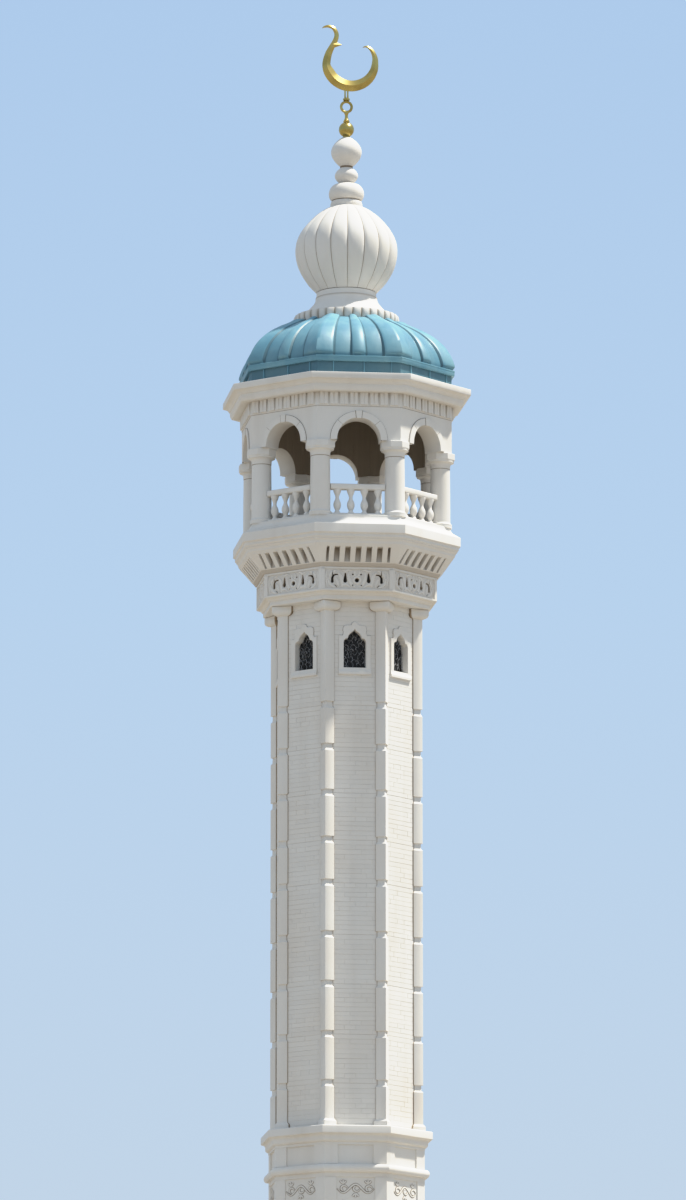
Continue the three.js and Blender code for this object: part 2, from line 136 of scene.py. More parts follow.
class Skin:
    """Points and faces of one piece, gathered from grids before they become a mesh."""

    def __init__(self):
        """Starts with no parts. A part has its points, quads, finishes of the quads and tones."""
        self.parts = []

    def add(self, points, quads, finish=0, tone=CLEAN):
        """Faces over a list of points. Tone is a shade for each point, or one for all."""
        tones = np.broadcast_to(np.asarray(tone, float), (len(points),))
        self.parts.append((points, quads, np.full(len(quads), finish, np.int32), tones))

    def grid(self, points, round_rows=False, round_columns=False, finish=0, tone=CLEAN,
             away_from=None, facing=None):
        """Quads between neighbours of a (rows, columns, 3) array. With rows going up and columns going
        right, they face the viewer. Away_from and facing name a point to look away from or towards."""
        rows, columns = points.shape[:2]
        index = np.arange(rows * columns).reshape(rows, columns)
        if round_rows:
            index = np.vstack([index, index[:1]])
        if round_columns:
            index = np.hstack([index, index[:, :1]])
        corners = [index[:-1, :-1], index[:-1, 1:], index[1:, 1:], index[1:, :-1]]
        quads = np.stack(corners, -1).reshape(-1, 4)
        flat = points.reshape(-1, 3)
        if away_from is not None or facing is not None:
            a, b, c, d = (flat[quads[:, i]] for i in range(4))
            normals = np.cross(c - a, d - b)
            middle = (a + b + c + d) / 4
            out = middle - away_from if facing is None else facing - middle
            if (normals * out).sum() < 0:
                quads = quads[:, ::-1]
        if np.ndim(tone):
            tone = np.broadcast_to(tone, (rows, columns)).reshape(-1)
        self.add(flat, quads, finish, tone)

    def lid(self, ring, away_from):
        """Closes a ring of points with a fan to its middle."""
        middle = np.broadcast_to(ring.mean(0), ring.shape)
        self.grid(np.stack([ring, middle]), round_columns=True, away_from=away_from)

    def tube(self, rings, tone=CLEAN):
        """Rings of points joined in a tube, with a lid on both ends."""
        middle = rings.reshape(-1, 3).mean(0)
        self.grid(rings, round_columns=True, away_from=middle, tone=tone)
        self.lid(rings[0], middle)
        self.lid(rings[-1], middle)

    def join(self, other, turn=0.0, mirror=False):
        """Takes over another skin, mirrored left to right, then turned about the axis."""
        for points, quads, finishes, tones in other.parts:
            if mirror:
                points = points * (-1, 1, 1)
                quads = quads[:, ::-1]
            self.parts.append((turned(points, turn), quads, finishes, tones))

    def join_both(self, part):
        """Takes over a part at the right end of a face, and its mirror image at the left end."""
        self.join(part)
        self.join(part, mirror=True)

    def join_round(self, part):
        """Takes over a part of the front face for each of the eight faces."""
        for i in range(SIDES):
            self.join(part, i * TURN)

    def at(self, turn):
        """A copy turned about the axis."""
        copy = Skin()
        copy.join(self, turn)
        return copy

    def gathered(self):
        """All points, quads, finishes and tones, with the points counted through."""
        points, quads, finishes, tones = zip(*self.parts)
        starts = np.cumsum([0, *(len(part) for part in points[:-1])])
        quads = [part + start for part, start in zip(quads, starts)]
        return [np.concatenate(each) for each in (points, quads, finishes, tones)]


def turned(points, angle):
    """Points turned about the axis, from the front towards +X for a positive angle."""
    c, s = math.cos(angle), math.sin(angle)
    x, y, z = points[..., 0], points[..., 1], points[..., 2]
    return np.stack([x * c - y * s, x * s + y * c, z], -1)


def on_face(x, depth, z):
    """Points of the front face from their place across, depth and height."""
    x, depth, z = np.broadcast_arrays(x, depth, z)
    return np.stack([x, -depth, z], -1).astype(float)


def line_on_face(line, depth):
    """Points of the front face from a line of across and height points, at a depth."""
    return on_face(line[..., 0], depth, line[..., 1])


def around(radius, azimuth, height, centre=(0, 0)):
    """Points at a radius, an azimuth and a height about an upright line."""
    radius, azimuth, height = np.broadcast_arrays(radius, azimuth, height)
    return np.stack([centre[0] + radius * np.sin(azimuth), centre[1] - radius * np.cos(azimuth), height], -1)


def outline(*parts):
    """One array of points from single points and arrays of points."""
    return np.vstack([np.atleast_2d(part) for part in parts])


def arc(start, end, bulge, steps=8):
    """A round stretch from start to end: the chord plus 4 t (1 - t) times the bulge, to its right."""
    start, end = np.array(start, float), np.array(end, float)
    t = np.linspace(0, 1, steps + 1)[:, None]
    chord = end - start
    side = np.array([chord[1], -chord[0]])
    return start + t * chord + 4 * t * (1 - t) * bulge * side


def ogee(start, end, bulge, steps=6):
    """An S-shaped stretch: an arc to the middle and the opposite arc on from there."""
    middle = (np.array(start, float) + np.array(end, float)) / 2
    return outline(arc(start, middle, bulge, steps), arc(middle, end, -bulge, steps)[1:])


def smooth_line(points, steps):
    """A curve through points: between two of them, the cubic whose slopes join their neighbours."""
    points = np.array(points, float)
    padded = np.vstack([2 * points[0] - points[1], points, 2 * points[-1] - points[-2]])
    t = np.linspace(0, len(points) - 1, steps)
    i = np.minimum(t.astype(int), len(points) - 2)
    f = (t - i)[:, None]
    p0, p1, p2, p3 = padded[i], padded[i + 1], padded[i + 2], padded[i + 3]
    return 0.5 * (2 * p1 + (p2 - p0) * f + (2 * p0 - 5 * p1 + 4 * p2 - p3) * f**2
                  + (3 * p1 - p0 - 3 * p2 + p3) * f**3)


def leftward(line):
    """Unit vectors at right angles to a line, to its left."""
    along = np.gradient(line, axis=0)
    along = along / np.maximum(np.hypot(*along.T), 1e-9)[:, None]
    return np.stack([-along[:, 1], along[:, 0]], -1)


def sweep_octagon(skin, profile, closed=True, **options):
    """A profile of corner radius and height set at each of the eight corners and joined by flat faces."""
    azimuth = (np.arange(SIDES) + 0.5) * TURN
    points = around(profile[:, :1], azimuth, profile[:, 1:])
    skin.grid(points, round_rows=closed, round_columns=True, **options)


def revolve(skin, profile, segments, centre=(0, 0), **options):
    """A profile of radius and height turned about an upright line."""
    azimuth = np.arange(segments) * math.tau / segments
    skin.grid(around(profile[:, :1], azimuth, profile[:, 1:], centre), round_columns=True, **options)


def extrude_across(skin, section, left, right, tone=CLEAN):
    """A closed section of depth and height points drawn out across a face, with both ends closed."""
    skin.tube(on_face(np.array([[left], [right]]), section[:, 0], section[:, 1]), tone)


def rounded_section(near, far, bottom, top, radius):
    """A box section of depth and height points with each corner a quarter circle."""
    turns = np.linspace(0, math.pi / 2, 4)
    points = []
    for i, corner in enumerate([(far, top), (near, top), (near, bottom), (far, bottom)]):
        angle = turns + i * math.pi / 2
        reach = radius * np.stack([np.cos(angle), np.sin(angle)], -1)
        points.append(corner - radius * np.sign(reach[1]) + reach)
    return np.vstack(points)


# Finishes

def finish(name, roughness, metallic=0.0):
    """A new material with its nodes and its shader."""
    material = bpy.data.materials.new(name)
    material.use_nodes = True
    tree = material.node_tree
    shader = tree.nodes["Principled BSDF"]
    shader.inputs["Roughness"].default_value = roughness
    shader.inputs["Metallic"].default_value = metallic
    return material, tree, shader


def node(tree, kind, values=None, **settings):
    """A node with its settings and the values or links of its inputs."""
    made = tree.nodes.new("ShaderNode" + kind)
    for key, value in settings.items():
        setattr(made, key, value)
    for key, value in (values or {}).items():
        if isinstance(value, bpy.types.NodeSocket):
            tree.links.new(value, made.inputs[key])
        else:
            made.inputs[key].default_value = value
    return made


def own_place(tree):
    """The place on the piece itself, in metres."""
    return node(tree, "TexCoord").outputs["Object"]


def own_tone(tree):
    """The tone of the piece's points."""
    return node(tree, "Attribute", attribute_name="tone").outputs["Fac"]


def noise(tree, scale, detail=4.0, stretch=(1, 1, 1)):
    """Noise in metres on the piece itself, stretched along its axes."""
    mapped = node(tree, "Mapping", {"Vector": own_place(tree), "Scale": stretch}).outputs[0]
    return node(tree, "TexNoise", {"Vector": mapped, "Scale": scale, "Detail": detail}).outputs["Fac"]


def spread(tree, value, low, high, to_low=0.0, to_high=1.0):
    """A value taken from one range to another, kept inside it."""
    limits = {"Value": value, "From Min": low, "From Max": high, "To Min": to_low, "To Max": to_high}
    return node(tree, "MapRange", limits).outputs[0]


def blend(tree, share, first, second):
    """Two colours mixed by a share. A colour is a link or three numbers."""
    colours = [value if isinstance(value, bpy.types.NodeSocket) else (*value, 1) for value in (first, second)]
    values = {0: share, 6: colours[0], 7: colours[1]}
    return node(tree, "Mix", values, data_type="RGBA").outputs[2]


def shaded(tree, colour, brightness):
    """A colour made darker or brighter."""
    return node(tree, "HueSaturation", {"Color": colour, "Value": brightness}).outputs[0]


def paint(tree, shader, colour, roughness=None):
    """Gives a shader its colour, and its roughness where that varies."""
    tree.links.new(colour, shader.inputs["Base Color"])
    if roughness is not None:
        tree.links.new(roughness, shader.inputs["Roughness"])


def bump(tree, shader, height, depth, strength=1.0):
    """Fine relief in metres from a height between 0 and 1."""
    made = node(tree, "Bump", {"Height": height, "Distance": depth, "Strength": strength})
    tree.links.new(made.outputs[0], shader.inputs["Normal"])


def painted_stone():
    """Limewash on dressed stone: broad clouds of a warmer tone, runs of dust down the face, a fine grain,
    and the piece's own tone, which carries dark joints, stains and grime, and also painted shade: from 0.46
    down to 0.28 it turns to a brown, and on from there to near black."""
    material, tree, shader = finish("limewashed_stone", 0.82)
    light, warm, dust = (0.755, 0.74, 0.705), (0.735, 0.70, 0.645), (0.56, 0.51, 0.445)
    stain, soot = (0.33, 0.24, 0.15), (0.035, 0.031, 0.028)
    clouds = spread(tree, noise(tree, 0.55, 5), 0.38, 0.68)
    runs = spread(tree, noise(tree, 2.2, 4, (1, 1, 0.07)), 0.5, 0.78, 0.0, 0.30)
    grain = noise(tree, 38, 3)
    tone = own_tone(tree)
    dusty = blend(tree, runs, blend(tree, clouds, light, warm), dust)
    # Low tones are painted shade as well as stain and soot.
    stained = blend(tree, spread(tree, tone, 0.28, 0.46, 1.0, 0.0), dusty, stain)
    blackened = blend(tree, spread(tree, tone, 0.0, 0.28, 1.0, 0.0), stained, soot)
    colour = shaded(tree, blackened, spread(tree, tone, 0.4, 0.6, 0.9, 1.1))
    speckled = blend(tree, spread(tree, grain, 0.3, 0.7, 0.0, 0.06), colour, dust)
    paint(tree, shader, speckled, spread(tree, grain, 0.3, 0.7, 0.76, 0.9))
    bump(tree, shader, grain, 0.004, 0.35)
    return material


def sheet_metal():
    """Blue-green painted sheet: paler chalky clouds, long runs down the slope and slightly uneven panels.
    Its tone paints shade in the rib folds, on the skirt and low on the dome, and painted light near the top.
    """
    material, tree, shader = finish("dome_paint", 0.5)
    clouds = spread(tree, noise(tree, 0.9, 5), 0.35, 0.7)
    runs = spread(tree, noise(tree, 3.0, 4, (1, 1, 0.15)), 0.45, 0.75, 0.0, 0.45)
    colour = blend(tree, clouds, (0.112, 0.288, 0.388), (0.172, 0.375, 0.465))
    chalky = blend(tree, runs, colour, (0.28, 0.47, 0.515))
    toned = shaded(tree, chalky, spread(tree, own_tone(tree), 0, 1, 0.4, 1.6))
    paint(tree, shader, toned, spread(tree, clouds, 0, 1, 0.42, 0.56))
    bump(tree, shader, noise(tree, 2.4, 3), 0.02, 0.4)
    return material


def gilding():
    """Gilded metal: satin gold with slightly browner, rougher clouds and soft hammering."""
    material, tree, shader = finish("gilding", 0.34, 1.0)
    clouds = spread(tree, noise(tree, 2.5, 3), 0.35, 0.7)
    colour = blend(tree, clouds, (0.62, 0.49, 0.168), (0.41, 0.312, 0.097))
    paint(tree, shader, colour, spread(tree, clouds, 0, 1, 0.26, 0.38))
    bump(tree, shader, noise(tree, 4, 2), 0.01, 0.12)
    return material


def dark_metal():
    """Dark pierced metal: near black where its tone is low, which paints the shade seen through the
    piercings, and dusty grey on the raised leaves.
    """
    material, tree, shader = finish("screen_metal", 0.55, 0.25)
    wear = spread(tree, noise(tree, 24, 4), 0.35, 0.7, 0.6, 1.0)
    raised = blend(tree, wear, (0.16, 0.165, 0.18), (0.40, 0.41, 0.43))
    paint(tree, shader, blend(tree, own_tone(tree), (0.004, 0.004, 0.005), raised))
    bump(tree, shader, noise(tree, 60, 3), 0.002, 0.4)
    return material


def shade_dark_lining_boards():
    """Brown boards that line the lantern, kept dark as painted shade for its inside: long grain upright,
    and each board a little different.
    """
    material, tree, shader = finish("shade_dark_lining_boards", 0.7)
    grain = noise(tree, 9, 5, (1, 1, 0.08))
    colour = blend(tree, spread(tree, grain, 0.3, 0.7), (0.29, 0.24, 0.185), (0.335, 0.28, 0.215))
    paint(tree, shader, shaded(tree, colour, spread(tree, own_tone(tree), 0, 1, 0.4, 1.6)))
    bump(tree, shader, grain, 0.003, 0.4)
    return material


def fired_tiles():
    """Brown square tiles with thin grey joints, a little different from tile to tile."""
    material, tree, shader = finish("fired_tiles", 0.6)
    tiles = node(tree, "TexBrick", {
        "Vector": own_place(tree), "Scale": 1.0, "Mortar Size": 0.004, "Brick Width": 0.3, "Row Height": 0.3,
        "Color1": (0.17, 0.115, 0.08, 1), "Color2": (0.13, 0.09, 0.065, 1), "Mortar": (0.12, 0.11, 0.10, 1),
    }, offset=0.0)
    wear = spread(tree, noise(tree, 3, 4), 0.4, 0.7, 0, 0.4)
    paint(tree, shader, blend(tree, wear, tiles.outputs["Color"], (0.2, 0.17, 0.14)))
    bump(tree, shader, tiles.outputs["Fac"], 0.002, -0.5)
    return material


def door_timber():
    """Dark oiled boards with upright grain."""
    material, tree, shader = finish("door_timber", 0.55)
    grain = noise(tree, 14, 6, (1, 1, 0.06))
    colour = blend(tree, spread(tree, grain, 0.3, 0.7), (0.085, 0.042, 0.02), (0.21, 0.115, 0.055))
    paint(tree, shader, colour)
    bump(tree, shader, grain, 0.003, 0.5)
    return material


def plain_floor():
    """A pale floor with the faintest clouds, which fades into the backdrop's tone towards its rim."""
    material, tree, shader = finish("pale_floor", 0.9)
    clouds = spread(tree, noise(tree, 0.05, 3), 0.3, 0.7)
    pale = blend(tree, clouds, (0.33, 0.29, 0.24), (0.36, 0.32, 0.265))
    outward = node(tree, "VectorMath", {0: own_place(tree)}, operation="LENGTH").outputs["Value"]
    paint(tree, shader, blend(tree, spread(tree, outward, 22, 59), pale, (0.272, 0.246, 0.216)))
    return material


STONE = painted_stone()
DOME_PAINT = sheet_metal()
GILDING = gilding()
SCREEN_METAL = dark_metal()
SHADE_DARK_LINING = shade_dark_lining_boards()
TILES = fired_tiles()
TIMBER = door_timber()


def mesh_of(name, skin, finishes):
    """The mesh of a skin, with its seams and poles welded."""
    mesh = bpy.data.meshes.new(name)
    points, quads, finish_of_quad, tones = skin.gathered()
    mesh.vertices.add(len(points))
    mesh.vertices.foreach_set("co", points.astype(np.float32).ravel())
    mesh.loops.add(quads.size)
    mesh.loops.foreach_set("vertex_index", quads.astype(np.int32).ravel())
    mesh.polygons.add(len(quads))
    mesh.polygons.foreach_set("loop_start", np.arange(0, quads.size, 4, dtype=np.int32))
    mesh.polygons.foreach_set("material_index", finish_of_quad)
    mesh.update(calc_edges=True)
    tone = mesh.attributes.new("tone", "FLOAT", "POINT")
    tone.data.foreach_set("value", tones.astype(np.float32))
    weld(mesh)
    for material in finishes:
        mesh.materials.append(material)
    return mesh


def weld(mesh):
    """Merges points that lie together, which closes seams and poles and drops faces with no area."""
    work = bmesh.new()
    work.from_mesh(mesh)
    bmesh.ops.remove_doubles(work, verts=work.verts, dist=WELD_GAP)
    bmesh.ops.dissolve_degenerate(work, dist=1e-6, edges=work.edges)
    work.to_mesh(mesh)
    work.free()


def dress(name, skin, nodes, finishes=(STONE,), sharp=32.0):
    """Makes a piece of a skin, with edges sharp above an angle in degrees, and lets it stand for its
    nodes."""
    mesh = mesh_of(name, skin, finishes)
    mesh.polygons.foreach_set("use_smooth", np.ones(len(mesh.polygons), bool))
    mesh.set_sharp_from_angle(angle=math.radians(sharp))
    piece = bpy.data.objects.new(name, mesh)
    bpy.context.scene.collection.objects.link(piece)
    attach(piece, "root")
    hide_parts(*nodes)


# Walls

def chamfered_blocks(skin, boxes, bed, front, tones):
    """Blocks on a wall, from an array of left, right, bottom and top: a front face and four sloped sides
    down to the bed, with dirty joints."""
    left, right, bottom, top = boxes.T
    across = np.stack([left, right, right, left], -1)
    up = np.stack([bottom, bottom, top, top], -1)
    inward = np.array([1, -1, -1, 1]) * BRICK_CHAMFER
    upward = np.array([1, 1, -1, -1]) * BRICK_CHAMFER
    base = on_face(across, bed, up)
    face = on_face(across + inward, front[:, None], up + upward)
    points = np.concatenate([base, face], 1).reshape(-1, 3)
    pattern = np.array([[4, 5, 6, 7], [0, 1, 5, 4], [1, 2, 6, 5], [2, 3, 7, 6], [3, 0, 4, 7]])
    quads = (pattern[None] + 8 * np.arange(len(boxes))[:, None, None]).reshape(-1, 4)
    shades = np.repeat(tones[:, None], 8, 1)
    shades[:, :4] = BRICK_BED
    skin.add(points, quads, 0, shades.ravel())


def half_width(hole, low, high):
    """The larger half width of a hole at two heights, read from its right half: 0 above and below it."""
    if not len(hole):
        return 0
    return np.interp((low, high), hole[:, 1], hole[:, 0], left=0, right=0).max()


def brick_wall(skin, depth, half, bottom, top, joints, hole, seed):
    """Bricks in running bond on their bed, a hair uneven, cut where the hole is. Whole courses fill the
    height of each block of the pilasters. The wash fills most upright joints and narrows the others at
    random, but the bed joints in line with the pilasters' joints stay open."""
    random = np.random.default_rng(seed)
    uneven, tone_spread = 0.001, 0.012
    stops = np.array([bottom, *joints, top])
    counts = np.maximum(np.round(np.diff(stops) / COURSE), 1).astype(int)
    courses = [np.linspace(*span, endpoint=False) for span in zip(stops[:-1], stops[1:], counts)]
    levels = np.concatenate([*courses, [top]])
    open_beds = np.isin(levels, joints)
    boxes = []
    for k, (low, high) in enumerate(zip(levels[:-1], levels[1:])):
        start = -half - (BRICK / 2 if k % 2 else 0)
        edges = np.unique(np.clip(np.arange(start, half + BRICK, BRICK), -half, half))
        keep = random.random(len(edges)) < SHARE_OF_OPEN_UPRIGHTS
        keep[[0, -1]] = True
        edges = edges[keep]
        lefts, rights = edges[:-1] + 0.3 * JOINT, edges[1:] - 0.3 * JOINT
        gap = half_width(hole, low, high)
        parts = [(lefts, rights)]
        if gap > 0:
            parts = [(lefts, np.minimum(rights, -gap)), (np.maximum(lefts, gap), rights)]
        for a, b in parts:
            wide = b - a > NARROWEST_BRICK
            below, above = 1.3 * JOINT * random.random((2, wide.sum())) ** 2
            lower = low + (OPEN_JOINT if open_beds[k] else below)
            upper = high - (OPEN_JOINT if open_beds[k + 1] else above)
            boxes.append(np.stack(np.broadcast_arrays(a[wide], b[wide], lower, upper), -1))
    boxes = np.vstack(boxes)
    front = depth + random.uniform(-uneven, uneven, len(boxes))
    tones = CLEAN + random.normal(0, tone_spread, len(boxes))
    chamfered_blocks(skin, boxes, depth - BRICK_RELIEF, front, tones)


def wall_core(skin, outer, bottom, top, hole):
    """The wall behind the bricks, closed all round. The hole is given by its right half."""
    levels = hole[:, 1]
    spans = [(bottom, levels[0]), (levels[-1], top)] if len(hole) else [(bottom, top)]
    for depth, viewer in ((outer, FRONT), (INNER_DEPTH, BEHIND)):
        half = depth * TAN
        for span in spans:
            skin.grid(on_face((-half, half), depth, np.array([span]).T), facing=viewer, tone=CORE_TONE)
        if len(hole):
            for sign in (-1, 1):
                edge = np.stack([sign * hole[:, 0], np.full(len(hole), sign * half)], -1)
                skin.grid(on_face(edge, depth, levels[:, None]), facing=viewer, tone=CORE_TONE)
    ring = np.array([[-1, bottom], [1, bottom], [1, top], [-1, top]])
    depths = np.array([[INNER_DEPTH], [outer]])
    skin.grid(on_face(ring[:, 0] * depths * TAN, depths, ring[:, 1]), round_columns=True,
              away_from=(0, -(outer + INNER_DEPTH) / 2, (bottom + top) / 2))


def wall_fascia(skin, depth, half, top):
    """A plain flat band across a wall, under its top."""
    section = rounded_section(depth - 0.02, depth + 0.016, top - 0.125, top + 0.01, 0.005)
    extrude_across(skin, section, -half - 0.03, half + 0.03)


def pilaster_rows(bottom, top, joints, foot, capital):
    """Heights and how far the pilaster's faces stand back there: a block at the foot, a notch with
    chamfered lips at each joint, and a capital of a quarter round under a plain fascia."""
    rows = [np.array([(bottom, 0.0)])]
    if foot:
        rows = [np.array([(0.0, -foot), (0.165, -foot), (0.172, -foot + 0.006), (0.225, 0.0)]) + (bottom, 0)]
    notch = np.array([(-0.088, 0.0), (-0.084, 0.005), (-0.040, 0.042), (0.080, 0.046), (0.084, 0.004),
                      (0.088, 0.0)])
    rows += [notch + (z, 0) for z in joints]
    turn = np.linspace(0.02, 1, 7) * math.pi / 2
    swell = np.stack([-0.228 + 0.10 * (1 - np.cos(turn)), -0.02 - (capital - 0.02) * np.sin(turn)], -1)
    lip = [(-0.03, -capital), (-0.012, -capital + 0.006), (-0.004, -capital + 0.02)]
    rows.append(outline((-0.23, 0.0), swell, lip) + (top, 0))
    return np.vstack(rows)


def pilasters(skin, radius, rows):
    """Half a pilaster at each end of a face: the plan of its edge, its facet and its arris on the corner
    is carried up by the rows of height and set-back. The facet leans back from the arris. Painted shade
    darkens the side, the line along its edge and the top row under the fascia, and the notch floors are a
    little darker and browner."""
    depth = radius * COS
    bed = depth - WALL_RECESS - 0.02
    chamfer = 0.008
    # Painted shade on the side, along the edge and on the top row under the fascia; the notch floors only a
    # little darker and browner.
    side_shade, edge_shade, notch_tone, top_shade = 0.06, 0.33, 0.472, 0.25
    plan = []
    for back in rows[:, 1]:
        edge = depth * TAN - PILASTER_FACE + back
        front = depth - back
        side = front - FACET_LEAN * (front * TAN - edge)
        arris = front - 0.4 * chamfer
        plan.append([(edge, bed), (edge, side - chamfer), (edge + chamfer, side + FACET_LEAN * chamfer),
                     (front * TAN - chamfer, front - FACET_LEAN * chamfer), (arris * TAN, arris),
                     (bed * TAN, bed)])
    plan = np.array(plan)
    painted_shade_and_dirt = np.full((len(rows), 6), CLEAN)
    painted_shade_and_dirt[:, 0] = side_shade
    painted_shade_and_dirt[:, 1] = edge_shade
    notch = (rows[:, 1] > 0.04) & (rows[:, 1] < 0.05)
    painted_shade_and_dirt[notch, 2:5] = notch_tone
    painted_shade_and_dirt[-1] = top_shade
    side = Skin()
    side.tube(on_face(plan[..., 0], plan[..., 1], rows[:, :1]), painted_shade_and_dirt)
    skin.join_both(side)


# Openings

def window_outline():
    """Right half of the opening: an upright jamb, a small round lobe to a cusp, a longer lobe and a point."""
    return outline(
        (0.272, 21.03), (0.272, 21.655), arc((0.268, 21.675), (0.176, 21.748), 0.20, 5),
        arc((0.168, 21.765), (0.056, 21.912), 0.11, 6), (0.028, 21.935), (0.0, 21.975))


def surround_outline():
    """Right half of the surround: an upright edge, a square shoulder, a hollow and a round hood."""
    return outline(
        (0.392, 20.93), (0.392, 21.82), (0.305, 21.82), arc((0.290, 21.84), (0.290, 21.95), -0.12, 3),
        arc((0.285, 21.975), (0.215, 22.068), 0.22, 5), (0.095, 22.075),
        arc((0.080, 22.095), (0.0, 22.155), 0.2, 4))


def door_outline(grow=0.0, foot=FLOOR):
    """Right half of the doorway, of the same form as the windows: jamb, small lobe, long lobe, point."""
    rise = DOOR_APEX - DOOR_SHOULDER
    half = DOOR_HALF + grow
    top = DOOR_SHOULDER + grow * 0.3
    return outline(
        (half, foot), (half, top - 0.02), arc((half - 0.004, top), (half * 0.72, top + rise * 0.24), 0.2, 5),
        arc((half * 0.68, top + rise * 0.28), (half * 0.23, DOOR_APEX - rise * 0.2 + grow * 0.7), 0.1, 6),
        (0.0, DOOR_APEX + grow))


def matched(first, second):
    """Two outlines with the same number of points: both are read at the corners of either, by their share
    of the length. The jamb is the first third of both."""
    def share(line):
        """Share of the length at each corner."""
        lengths = np.concatenate([[0], np.cumsum(np.hypot(*np.diff(line, axis=0).T))])
        jamb = lengths[1]
        rest = (lengths[1:] - jamb) / (lengths[-1] - jamb)
        return np.concatenate([[0], 1 / 3 + rest * 2 / 3])

    places = [share(first), share(second)]
    both = np.unique(np.round(np.concatenate(places), 5))
    return [np.stack([np.interp(both, place, line[:, 0]), np.interp(both, place, line[:, 1])], -1)
            for place, line in zip(places, (first, second))]


def rising(line):
    """The points of a line that lie above the one before."""
    return line[np.concatenate([[True], np.diff(line[:, 1]) > 1e-4])]


def hole_behind(inner, outer, share):
    """Right half of the hole in the wall behind a frame, at a share of the way between its outlines."""
    inner, outer = matched(inner, outer)
    hole = rising(inner * (1 - share) + outer * share)
    hole[-1, 0] = 0.0
    return hole


def whole(half):
    """A right half and its mirror image, from the foot of one jamb over the top to the other."""
    return np.vstack([half, half[-2::-1] * (-1, 1)])


def framed_opening(skin, inner, outer, wall_depth, proud, bevel=0.012):
    """A flat raised frame between two outlines, with the reveal behind it."""
    inner, outer = (whole(line) for line in matched(inner, outer))
    toward = outer - inner
    toward = toward / np.maximum(np.hypot(*toward.T), 1e-6)[:, None]
    front = wall_depth + proud
    lines = [(outer, wall_depth - 0.02), (outer, front - bevel), (outer - toward * bevel, front),
             (inner + toward * bevel, front), (inner, front - bevel), (inner, INNER_DEPTH)]
    points = np.stack([line_on_face(line, depth) for line, depth in lines])
    height = (outer + inner)[:, 1].mean() / 2
    edge = {"away_from": (0, -wall_depth, height)}
    reveal = {"facing": (0, -front - 0.2, height)}
    for row, way in enumerate((edge, edge, {"facing": FRONT}, reveal, reveal)):
        skin.grid(points[row:row + 2], **way)


def painted_shadow_line(skin, line, depth, width=0.012):
    """A thin dark ribbon flat on a face, along a line of across and height points: a painted shadow beside
    a raised edge.
    """
    side = leftward(line) * width / 2
    edges = [line_on_face(line + way * side, depth) for way in (-1, 1)]
    skin.grid(np.stack(edges), facing=FRONT, tone=PAINTED_SHADOW_TONE)


def window_sill(skin, wall_depth):
    """A sill with a sloped top and small rounded edges."""
    section = np.array([(-0.03, 20.855), (0.048, 20.862), (0.055, 20.870), (0.055, 20.925), (0.046, 20.936),
                        (0.03, 21.03), (-0.2, 21.036), (-0.2, 20.90)])
    extrude_across(skin, section + (wall_depth, 0), -0.395, 0.395)


def shaft_wall(seed):
    """One face of the shaft with its bricks, half pilasters, fascia and framed window."""
    skin = Skin()
    depth = SHAFT_R * COS - WALL_RECESS
    half = SHAFT_R * COS * TAN - PILASTER_FACE
    hole = hole_behind(window_outline(), surround_outline(), 0.45)
    wall_core(skin, depth - BRICK_RELIEF, SHAFT_FOOT, SHAFT_TOP, hole)
    brick_wall(skin, depth, half + 0.02, SHAFT_FOOT, SHAFT_TOP - 0.13, SHAFT_JOINTS, hole, seed)
    framed_opening(skin, window_outline(), surround_outline(), depth, 0.035)
    # Painted shadow lines along the surround's edges and shoulders.
    shoulder = surround_outline()[1:]
    for line in (shoulder, shoulder * (-1, 1)):
        painted_shadow_line(skin, line, depth + 0.0025)
    window_sill(skin, depth)
    wall_fascia(skin, depth, half, SHAFT_TOP)
    pilasters(skin, SHAFT_R, pilaster_rows(SHAFT_FOOT, SHAFT_TOP, SHAFT_JOINTS, 0.055, 0.15))
    return skin


# Lower storey

def lower_face(seed, doorway):
    """One face of the lowest storey: plinth, bricks and half pilasters, and the doorway in the front."""
    skin = Skin()
    depth = LOWER_R * COS - WALL_RECESS
    half = LOWER_R * COS * TAN - PILASTER_FACE
    plinth = LOWER_PLINTH_R * COS
    hole = NO_HOLE
    if doorway:
        hole = hole_behind(door_outline(), door_outline(DOOR_FRAME), 0.5)
        hole[0, 1] = FLOOR + 0.001
    wall_core(skin, depth - BRICK_RELIEF, FLOOR, LOWER_WALL_TOP, hole)
    brick_wall(skin, depth, half + 0.02, PLINTH_TOP, LOWER_WALL_TOP - 0.13, LOWER_JOINTS, hole, seed)
    wall_fascia(skin, depth, half, LOWER_WALL_TOP)
    section = outline((depth - 0.02, FLOOR), (plinth, FLOOR), (plinth, PLINTH_TOP - 0.09),
                      arc((plinth, PLINTH_TOP - 0.09), (depth + 0.10, PLINTH_TOP), 0.2, 5),
                      (depth - 0.02, PLINTH_TOP))
    gap = DOOR_HALF + 0.09
    corner = section[:, 0] * TAN
    for ends in ((-corner, -gap), (gap, corner)) if doorway else ((-corner, corner),):
        skin.tube(np.stack([on_face(across, section[:, 0], section[:, 1]) for across in ends]))
    if doorway:
        framed_opening(skin, door_outline(), door_outline(DOOR_FRAME), depth, 0.20, 0.02)
    pilasters(skin, LOWER_R, pilaster_rows(FLOOR, LOWER_WALL_TOP, LOWER_JOINTS, 0, 0.08))
    return skin


